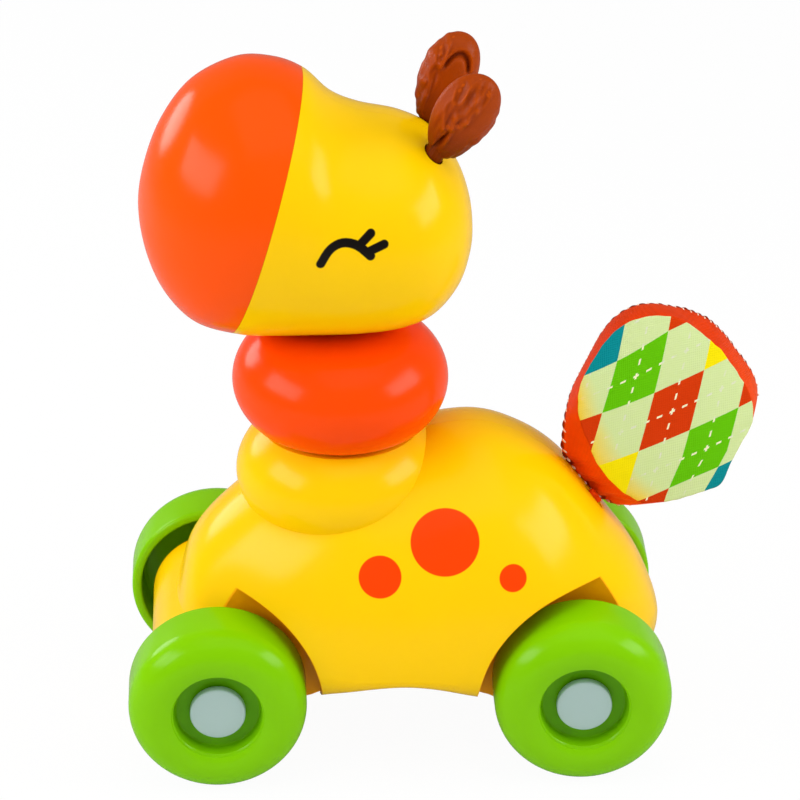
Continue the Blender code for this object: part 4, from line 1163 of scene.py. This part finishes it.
def stuffed(pad):
    """Fills the sewn pad: cloth under pressure, held at its seams, moving within a small reach."""
    pad.data.transform(Matrix.Scale(STUFFING_SCALE, 4))
    rest = np.empty(len(pad.data.vertices) * 3)
    pad.data.vertices.foreach_get("co", rest)
    cloth = pad.modifiers.new("cloth", "CLOTH")
    for key, value in STUFFING.items():
        setattr(cloth.settings, key, value)
    cloth.settings.effector_weights.gravity = 0.0
    cloth.point_cache.frame_start = 1
    cloth.point_cache.frame_end = STUFFING_STEPS
    scene = bpy.context.scene
    for step in range(1, STUFFING_STEPS + 1):
        scene.frame_set(step)
    baked(pad)
    scene.frame_set(1)
    moved = np.empty(len(pad.data.vertices) * 3)
    pad.data.vertices.foreach_get("co", moved)
    travel = (moved - rest).reshape(-1, 3)
    length = np.linalg.norm(travel, axis=1, keepdims=True)
    cap = STUFFING_REACH * STUFFING_SCALE
    travel *= np.minimum(1.0, cap / np.maximum(length, 1e-9))
    pad.data.vertices.foreach_set("co", (rest.reshape(-1, 3) + travel).ravel())
    pad.data.transform(Matrix.Scale(1 / STUFFING_SCALE, 4))
    smooth = pad.modifiers.new("finer", "SUBSURF")
    smooth.levels = smooth.render_levels = 1
    baked(pad)
    pad.vertex_groups.clear()
    return pad


STITCHES = 62
SEAM_WIDTH = 0.0007
RIM_WIDTH = 0.0012
PUCKER = 0.00022
STITCH_PULL = 0.00035

# Pinched places of the gusset next to the rump, in millimetres from the pad's middle, with their radius.
PINCHES = ((-22.6, -14.2, 2.0), (-13.4, -25.2, 2.0), (-18.6, -20.0, 1.4))
PINCH_DEPTH = 0.0009

# Fine folds where the gusset is gathered at the root: middle, radius, depth, waves and wander.
GATHER_MIDDLE = (-0.0170, -0.0190)
GATHER_RADIUS = 0.0095
GATHER_DEPTH = 0.00025
GATHER_WAVES = 1100.0
GATHER_WANDER = 220.0
PUCKER_SCALE = 420.0


def stitch_beat(angle):
    """0 at a stitch and 1 midway between two of them."""
    return abs(math.sin(angle * STITCHES / 2))


def sew(pad):
    """Puckers the seams, pinches the gusset at the root and marks the folds of the rim for painted
    shade.
    """
    folds = []
    for corner in pad.data.vertices:
        u, depth, v = corner.co
        angle = math.atan2(v, u)
        reach = math.hypot(u, v)
        inside = pad_reach(angle, 0.0) - reach
        out = Vector((math.cos(angle), 0.0, math.sin(angle)))
        front_seam = gauss(math.hypot(inside, depth + PAD_HALF_DEPTH), SEAM_WIDTH)
        rim = math.hypot(pad_reach(angle, 1.0) - reach, depth - PAD_HALF_DEPTH)
        back_seam = gauss(rim, SEAM_WIDTH)
        beat = stitch_beat(angle)
        folds.append(gauss(rim, RIM_WIDTH) * rise(beat, 0.25, 0.55))
        uneven = noise.noise(Vector((u, v, depth)) * PUCKER_SCALE)
        corner.co += out * PUCKER * front_seam * uneven
        corner.co += out * back_seam * (PUCKER * uneven - STITCH_PULL * (1 - beat))
        gusset = 1 - rise(abs(depth) / PAD_HALF_DEPTH, 0.75, 1.0)
        for at_u, at_v, radius in PINCHES:
            away = math.hypot(u * 1000 - at_u, v * 1000 - at_v)
            corner.co -= out * PINCH_DEPTH * gauss(away, radius) * gusset
        gathered = gauss(math.hypot(u - GATHER_MIDDLE[0], v - GATHER_MIDDLE[1]), GATHER_RADIUS) * gusset
        wander = noise.noise(Vector((u, depth, v)) * GATHER_WANDER)
        fold = math.sin(GATHER_WAVES * (u - v) + 5.0 * wander)
        corner.co += out * GATHER_DEPTH * gathered * fold
    pad.data.attributes.new("shaded_rim_folds", "FLOAT", "POINT").data.foreach_set("value", folds)
    pad.data.update()


# The printed diamonds, in millimetres on the pad: the middle of the middle one, and a diamond's edges.
DIAMOND_MIDDLE = (-0.78, -0.57)
DIAMOND_EDGES = ((13.16, 3.13), (-3.53, -15.05))
PRINT_MIDDLE = PAD_MIDDLE + PAD_RIGHT * DIAMOND_MIDDLE[0] / 1000 + UP * DIAMOND_MIDDLE[1] / 1000
DIAMOND_AREA = DIAMOND_EDGES[0][0] * DIAMOND_EDGES[1][1] - DIAMOND_EDGES[0][1] * DIAMOND_EDGES[1][0]
PRINT_ACROSS = (PAD_RIGHT * DIAMOND_EDGES[1][1] - UP * DIAMOND_EDGES[1][0]) * 1000 / DIAMOND_AREA
PRINT_ALONG = (UP * DIAMOND_EDGES[0][0] - PAD_RIGHT * DIAMOND_EDGES[0][1]) * 1000 / DIAMOND_AREA

RED_PRINT = rgb(212, 56, 0)
GREEN_PRINT = rgb(98, 192, 0)
TEAL_PRINT = rgb(0, 138, 145)
YELLOW_PRINT = rgb(246, 226, 0)
PALE_PRINT = rgb(209, 227, 156)
DASH_PRINT = rgb(244, 240, 196)
FAINT_PRINT = rgb(224, 224, 212)
SATIN = rgb(250, 80, 0)
# painted shade towards the top of the satin
SATIN_TOP_SHADE = rgb(226, 58, 0)
LOW_SATIN = rgb(222, 52, 0)
# Heights between which the painted shade at the top of the satin grows.
SATIN_SHADE_HEIGHTS = (-0.016, 0.014)
# Painted shade in the folds of the rim, also used for a faint random darkening of the satin.
RIM_SHADE = rgb(120, 24, 4)
# Painted light: yellow light thrown back from the body onto the pale cells next to the rump, with the
# line it grows along, the reach over which it grows, and how far in from the print's edge it fades.
BODY_BOUNCE_YELLOW = rgb(246, 204, 40)
BOUNCE_LINE = -PAD_RIGHT * 0.86 - UP * 0.50
BOUNCE_REACH = (0.0125, 0.0175)
BOUNCE_DEPTH = 0.0065

# Pulls of the sewing on the print: from and to which place to the right and up, and how far.
PRINT_PULLS = (
    ((-0.002, -0.024), (0.002, 0.016), UP * 0.0038),
    ((0.0125, 0.0205), (-0.004, -0.013), UP * -0.0056),
    ((-0.006, 0.006), (-0.0145, -0.0240), PAD_RIGHT * 0.0030),
)

# Dashes along the middle of each diamond: number to an edge, half length and half width.
DASHES = 4.0
DASH_HALF_LENGTH = 0.21
DASH_HALF_WIDTH = 0.019

# The cloth: half the soft end of the print, wave numbers of ribs and threads, and the slant of the ribs.
PRINT_END = 0.00006
WEAVE = (14000.0, 12000.0)
WEAVE_SLANT = 0.35


def equals(n, value, wanted):
    return n.math("COMPARE", value, wanted, 0.25)


def dashes(n, across, along):
    """Broken lines through the middle of each diamond."""
    lines = []
    for over, length in ((across, along), (along, across)):
        thin = n.math("LESS_THAN", n.math("ABSOLUTE", over), DASH_HALF_WIDTH)
        beat = n.math("FRACT", n.math("MULTIPLY_ADD", length, DASHES, 10.5))
        off_beat = n.math("ABSOLUTE", n.math("SUBTRACT", beat, 0.5))
        lines.append(n.times(thin, n.math("LESS_THAN", off_beat, DASH_HALF_LENGTH)))
    return n.math("MAXIMUM", *lines)


def argyle(n, place, right, high):
    """The colour of the slanted diamonds, that of the pale ground, and where the ground is."""
    pulled = place
    for (side, far_side), (level, far_level), pull in PRINT_PULLS:
        share = n.times(n.remap(right, side, far_side), n.remap(high, level, far_level))
        pulled = n.vector("ADD", pulled, n.mix(share, (0.0, 0.0, 0.0, 1.0), (*pull, 1.0)))
    away = n.vector("SUBTRACT", pulled, PRINT_MIDDLE)
    across = n.dot(away, PRINT_ACROSS)
    along = n.dot(away, PRINT_ALONG)
    step = n.math("ROUND", across)
    row = n.math("ROUND", along)
    total = n.math("ADD", step, row)
    wave = n.math("SINE", n.times(total, math.pi / 2))
    odd = n.math("GREATER_THAN", n.math("ABSOLUTE", wave), 0.5)
    column = n.math("ABSOLUTE", n.math("SUBTRACT", step, row))
    level = n.math("ABSOLUTE", total)
    beside = equals(n, column, 2.0)
    middle_row = equals(n, level, 0.0)
    outermost = equals(n, level, 4.0)
    colour = n.mix(equals(n, level, 2.0), RED_PRINT, GREEN_PRINT)
    colour = n.mix(outermost, colour, TEAL_PRINT)
    colour = n.mix(beside, colour, n.mix(middle_row, RED_PRINT, YELLOW_PRINT))
    dash = dashes(n, n.math("SUBTRACT", across, step), n.math("SUBTRACT", along, row))
    plain = n.math("MAXIMUM", n.times(beside, middle_row), outermost)
    colour = n.mix(n.times(dash, n.math("SUBTRACT", 1.0, plain)), colour, DASH_PRINT)
    specks = n.remap(n.noise(place, scale=700.0), 0.40, 0.60, 0.25, 0.75)
    pale = n.mix(n.times(n.remap(dash, 0.0, 1.0, 0.08, 1.0), specks), PALE_PRINT, FAINT_PRINT)
    return colour, pale, odd


def tail_cloth():
    """Printed argyle cloth on the face and orange satin round it."""
    coat, n, shader = bare_material("tail_cloth", roughness=0.62, specular=0.06)
    place = n.attribute("sewn_place", "Vector")
    from_middle = n.vector("SUBTRACT", place, PAD_MIDDLE)
    right = n.dot(from_middle, PAD_RIGHT)
    high = n.dot(from_middle, UP)
    colour, pale, odd = argyle(n, place, right, high)
    reach = n.attribute("printed_reach")
    # Painted light: the pale cells next to the rump are painted yellow for light thrown back from the
    # yellow body.
    bounce_light = n.remap(n.dot(from_middle, BOUNCE_LINE), *BOUNCE_REACH)
    bounce_light = n.times(bounce_light, n.remap(reach, 0.0, BOUNCE_DEPTH, 0.95, 0.0))
    printed = n.mix(odd, colour, n.mix(bounce_light, pale, BODY_BOUNCE_YELLOW))
    on_face = n.remap(reach, -PRINT_END, PRINT_END)
    ribs = n.math("SINE", n.times(n.math("MULTIPLY_ADD", right, WEAVE_SLANT, high), WEAVE[0]))
    cross = n.math("SINE", n.times(right, WEAVE[1]))
    weave = n.math("MULTIPLY_ADD", ribs, 0.3, n.times(cross, 0.2))
    uneven = n.noise(place, scale=240.0, detail=3.0)
    # Painted shade: the satin is painted darker towards the top of the pad.
    satin = n.mix(n.remap(high, *SATIN_SHADE_HEIGHTS), SATIN, SATIN_TOP_SHADE)
    satin = n.mix(n.remap(uneven, 0.3, 0.7, 0.12, 0.0), satin, RIM_SHADE)
    # Painted shade in the folds of the rim between the stitches.
    satin = n.mix(n.remap(n.attribute("shaded_rim_folds"), 0.25, 0.6, 0.0, 0.9), satin, RIM_SHADE)
    colour = n.shaded(n.mix(on_face, satin, printed), n.remap(weave, -0.5, 0.5, 0.94, 1.03))
    paint(n, shader, colour, n.remap(on_face, 0.0, 1.0, 0.48, 0.72))
    shader.inputs["Sheen Weight"].default_value = 0.05
    shader.inputs["Sheen Roughness"].default_value = 0.4
    shader.inputs["Sheen Tint"].default_value = rgb(255, 190, 90)
    puckers = n.math("MULTIPLY_ADD", n.noise(place, PUCKER_SCALE), 1.4, weave)
    bump(n, shader, puckers, strength=0.5, distance=0.00012)
    return coat


CLOTH_COAT = tail_cloth()


def pad_place():
    return Matrix.Translation(PAD_MIDDLE) @ Matrix.Rotation(PAD_TURN, 4, "Z")


STITCH_SIZE = (0.00027, 0.00027, 0.0008)
STITCH_SINK = 0.00005
STITCH_INSET = 0.0011
STITCH_LEAN = (0.30, 0.9, 0.05)
THREAD_LIGHT = rgb(252, 240, 220)
THREAD_DARK = rgb(236, 196, 160)
THREAD_TWIST = 30000.0


def build_stitches():
    """Slanted overlock stitches along the back seam."""
    whole = bmesh.new()
    for step in range(STITCHES):
        angle = 2 * math.pi * step / STITCHES
        out = Vector((math.cos(angle), 0.0, math.sin(angle)))
        along = Vector((-math.sin(angle), 0.0, math.cos(angle)))
        middle = out * (pad_reach(angle, 0.9) - STITCH_SINK) + ACROSS * (PAD_HALF_DEPTH - STITCH_INSET)
        slant = along * STITCH_LEAN[0] - ACROSS * STITCH_LEAN[1] - out * STITCH_LEAN[2]
        part = bmesh.new()
        bmesh.ops.create_icosphere(part, subdivisions=2, radius=1.0)
        part.transform(turn_to(middle, slant.normalized()) @ Matrix.Diagonal((*STITCH_SIZE, 1.0)))
        mesh = bpy.data.meshes.new("stitch")
        part.to_mesh(mesh)
        part.free()
        whole.from_mesh(mesh)
        bpy.data.meshes.remove(mesh)
    whole.transform(pad_place())
    return made(whole)


def thread():
    coat, n, shader = bare_material("pale_thread", roughness=0.7, specular=0.2)
    twist = n.math("SINE", n.times(n.split(n.place())[2], THREAD_TWIST))
    n.feed(shader.inputs["Base Color"], n.mix(n.remap(twist, -1.0, 1.0), THREAD_DARK, THREAD_LIGHT))
    bump(n, shader, twist, strength=0.4, distance=0.00005)
    return coat


TAB_SIZE = (0.0036, 0.0009, 0.0083)
TAB_SHIFT = 0.0004
TAB_DEPTH = 0.0058
TAB_RIPPLE = 0.00018


def build_tab():
    """The cloth tab between the rump and the pad, with a slight ripple across it."""
    bm = bmesh.new()
    bmesh.ops.create_cube(bm, size=1.0)
    bmesh.ops.subdivide_edges(bm, edges=bm.edges, cuts=9, use_grid_fill=True)
    for corner in bm.verts:
        x, y, z = corner.co
        ripple = TAB_RIPPLE * math.sin(9.0 * x + 3.0 * z)
        width, thickness, length = TAB_SIZE
        corner.co = (TAB_SHIFT + x * width, y * thickness + ripple, (z + 0.5) * length - TAB_DEPTH)
    bm.transform(tab_place())
    return made(bm)


def plain_satin():
    coat, n, shader = bare_material("orange_satin", roughness=0.5, specular=0.06)
    place = n.place()
    uneven = n.noise(place, scale=300.0, detail=3.0)
    paint(n, shader, n.mix(uneven, LOW_SATIN, SATIN), n.remap(uneven, 0.3, 0.7, 0.42, 0.6))
    bump(n, shader, n.noise(place, scale=3000.0, detail=1.0), strength=0.4, distance=0.00008)
    return coat


def keep_places(piece):
    """Stores where each corner was sewn, so that the print stays on the cloth when it bends."""
    places = np.empty(3 * len(piece.data.vertices))
    piece.data.vertices.foreach_get("co", places)
    piece.data.attributes.new("sewn_place", "FLOAT_VECTOR", "POINT").data.foreach_set("vector", places)


# Two places behind the rump, given to the tail pieces as their bend; they are not read.
TAIL_BEND = (TAB_ROOT + TAB_OUT * 0.001, TAB_ROOT + TAB_OUT * 0.015)

tail_pad = stuffed(build_pad())
sew(tail_pad)
tail_pad.data.transform(pad_place())
keep_places(tail_pad)
sewn = {"smooth": 80.0, "bend": TAIL_BEND}
finish(tail_pad, "tail_cushion", CLOTH_COAT, "tail", "tail_cloth", "tail_pad", **sewn)
finish(build_stitches(), "tail_stitches", thread(), "tail", "tail_cloth", **sewn)
finish(build_tab(), "tail_strap", plain_satin(), "chassis", "tail_cloth", "tail_tab", smooth=60.0)


# Inner pieces keep their solids.

INNER_COATS = {
    "neck_post": ORANGE_COAT,
    "gear_frame_left": FRAME_COAT,
    "gear_frame_right": FRAME_COAT,
    "drive_gear_shaft": STEEL_COAT,
    "flywheel_shaft": STEEL_COAT,
    "flywheel": STEEL_COAT,
    "drive_gear": NATURAL_COAT,
    "axle_gear": NATURAL_COAT,
}
for name, coat in INNER_COATS.items():
    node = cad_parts[name]
    if not node.material_slots:
        node.data.materials.append(coat)
    for slot in node.material_slots:
        slot.material = coat


# Studio.

PAPER = ((0.84, 0.84, 0.84, 1.0), (0.88, 0.88, 0.88, 1.0))
PAPER_IN_GLOSS = (0.34, 0.34, 0.34, 1.0)
PAPER_GLOW = 0.96
GLOSS_GLOW = 0.1
SKY_STRENGTH = 0.43
SKY_IN_GLOSS = 0.08
FLOOR = -0.0001
SWEEP_REACH = 3.0
SWEEP_TURN = 1.2
SWEEP_RADIUS = 0.6


def studio_white():
    """White paper that shows as white and still takes a soft shadow."""
    coat = bpy.data.materials.new("studio_paper")
    coat.use_nodes = True
    n = Nodes(coat.node_tree)
    coat.node_tree.nodes.remove(coat.node_tree.nodes["Principled BSDF"])
    white = n.mix(n.noise(n.place(), scale=6.0), *PAPER)
    rays = n.add("ShaderNodeLightPath").outputs
    white = n.mix(rays["Is Glossy Ray"], white, PAPER_IN_GLOSS)
    diffuse = n.add("ShaderNodeBsdfDiffuse", white).outputs[0]
    light = n.add("ShaderNodeEmission", WHITE, 1.0).outputs[0]
    seen = n.math("MAXIMUM", rays["Is Camera Ray"], n.times(rays["Is Glossy Ray"], GLOSS_GLOW))
    seen = n.math("MAXIMUM", seen, rays["Is Transmission Ray"])
    mixed = n.add("ShaderNodeMixShader", n.times(seen, PAPER_GLOW), diffuse, light).outputs[0]
    n.feed(coat.node_tree.nodes["Material Output"].inputs["Surface"], mixed)
    return coat


def build_sweep():
    """A floor that turns up into a backdrop in one sheet."""
    bm = bmesh.new()
    bend = arc((SWEEP_TURN, FLOOR + SWEEP_RADIUS), SWEEP_RADIUS, -80, 0, 12)
    line = [(-SWEEP_REACH, FLOOR), (SWEEP_TURN, FLOOR), *bend, (SWEEP_TURN + SWEEP_RADIUS, SWEEP_REACH)]
    corners = [bm.verts.new((-SWEEP_REACH, y, z)) for y, z in line]
    edges = [bm.edges.new(pair) for pair in zip(corners, corners[1:])]
    grown = bmesh.ops.extrude_edge_only(bm, edges=edges)
    moved = [item for item in grown["geom"] if isinstance(item, bmesh.types.BMVert)]
    bmesh.ops.translate(bm, verts=moved, vec=(2 * SWEEP_REACH, 0.0, 0.0))
    bmesh.ops.recalc_face_normals(bm, faces=bm.faces)
    mesh = bpy.data.meshes.new("sweep")
    bm.to_mesh(mesh)
    bm.free()
    if mesh.polygons[0].normal.z < 0:
        mesh.flip_normals()
    sweep = placed("sweep", mesh)
    sweep.data.materials.append(studio_white())
    sweep.data.shade_smooth()


LAMP_TARGET = Vector((0.0, 0.0, 0.09))

# Lamps: azimuth from the near side towards the tail, elevation, distance, size, energy and shape.
LAMPS = {
    "left_box": (-70, 24, 0.60, (0.42, 0.22), 1.62, "RECTANGLE"),
    "right_box": (74, 25, 0.60, (0.42, 0.22), 1.62, "RECTANGLE"),
    "overhead": (20, 76, 0.90, (1.00, 1.00), 4.2, "RECTANGLE"),
    "round_spot": (-129, 16, 0.60, (0.26, 0.26), 0.9, "DISK"),
}


def lamp(name, azimuth, elevation, distance, size, energy, shape):
    turn = math.radians(azimuth)
    tilt = math.radians(elevation)
    away = Vector((math.sin(turn) * math.cos(tilt), -math.cos(turn) * math.cos(tilt), math.sin(tilt)))
    light = bpy.data.lights.new(name, "AREA")
    light.shape = shape
    light.size, light.size_y = size
    light.energy = energy
    holder = placed(name, light)
    holder.location = LAMP_TARGET + away * distance
    holder.rotation_euler = (-away).to_track_quat("-Z", "Y").to_euler()
    return holder


def set_studio():
    scene = bpy.context.scene
    scene.view_settings.view_transform = "Standard"
    world = bpy.data.worlds.new("studio")
    world.use_nodes = True
    n = Nodes(world.node_tree)
    sky = world.node_tree.nodes["Background"]
    sky.inputs["Color"].default_value = WHITE
    glossy = n.add("ShaderNodeLightPath").outputs["Is Glossy Ray"]
    strength = n.math("MULTIPLY_ADD", glossy, SKY_IN_GLOSS - SKY_STRENGTH, SKY_STRENGTH)
    n.feed(sky.inputs["Strength"], strength)
    scene.world = world
    build_sweep()
    for name, settings in LAMPS.items():
        holder = lamp(name, *settings)
        holder.visible_glossy = name != "overhead"


CAMERA_PLACE = Vector((-0.046347, -0.865752, 0.525444))
CAMERA_AIM = Vector((-0.010969, 0.0, 0.0830))


def set_camera():
    camera = bpy.data.cameras.new("camera")
    camera.lens = 186.3
    camera.sensor_width = 36.0
    camera.clip_start = 0.01
    holder = placed("camera", camera)
    holder.location = CAMERA_PLACE
    holder.rotation_euler = (CAMERA_AIM - CAMERA_PLACE).to_track_quat("-Z", "Y").to_euler()
    bpy.context.scene.camera = holder


set_studio()
set_camera()
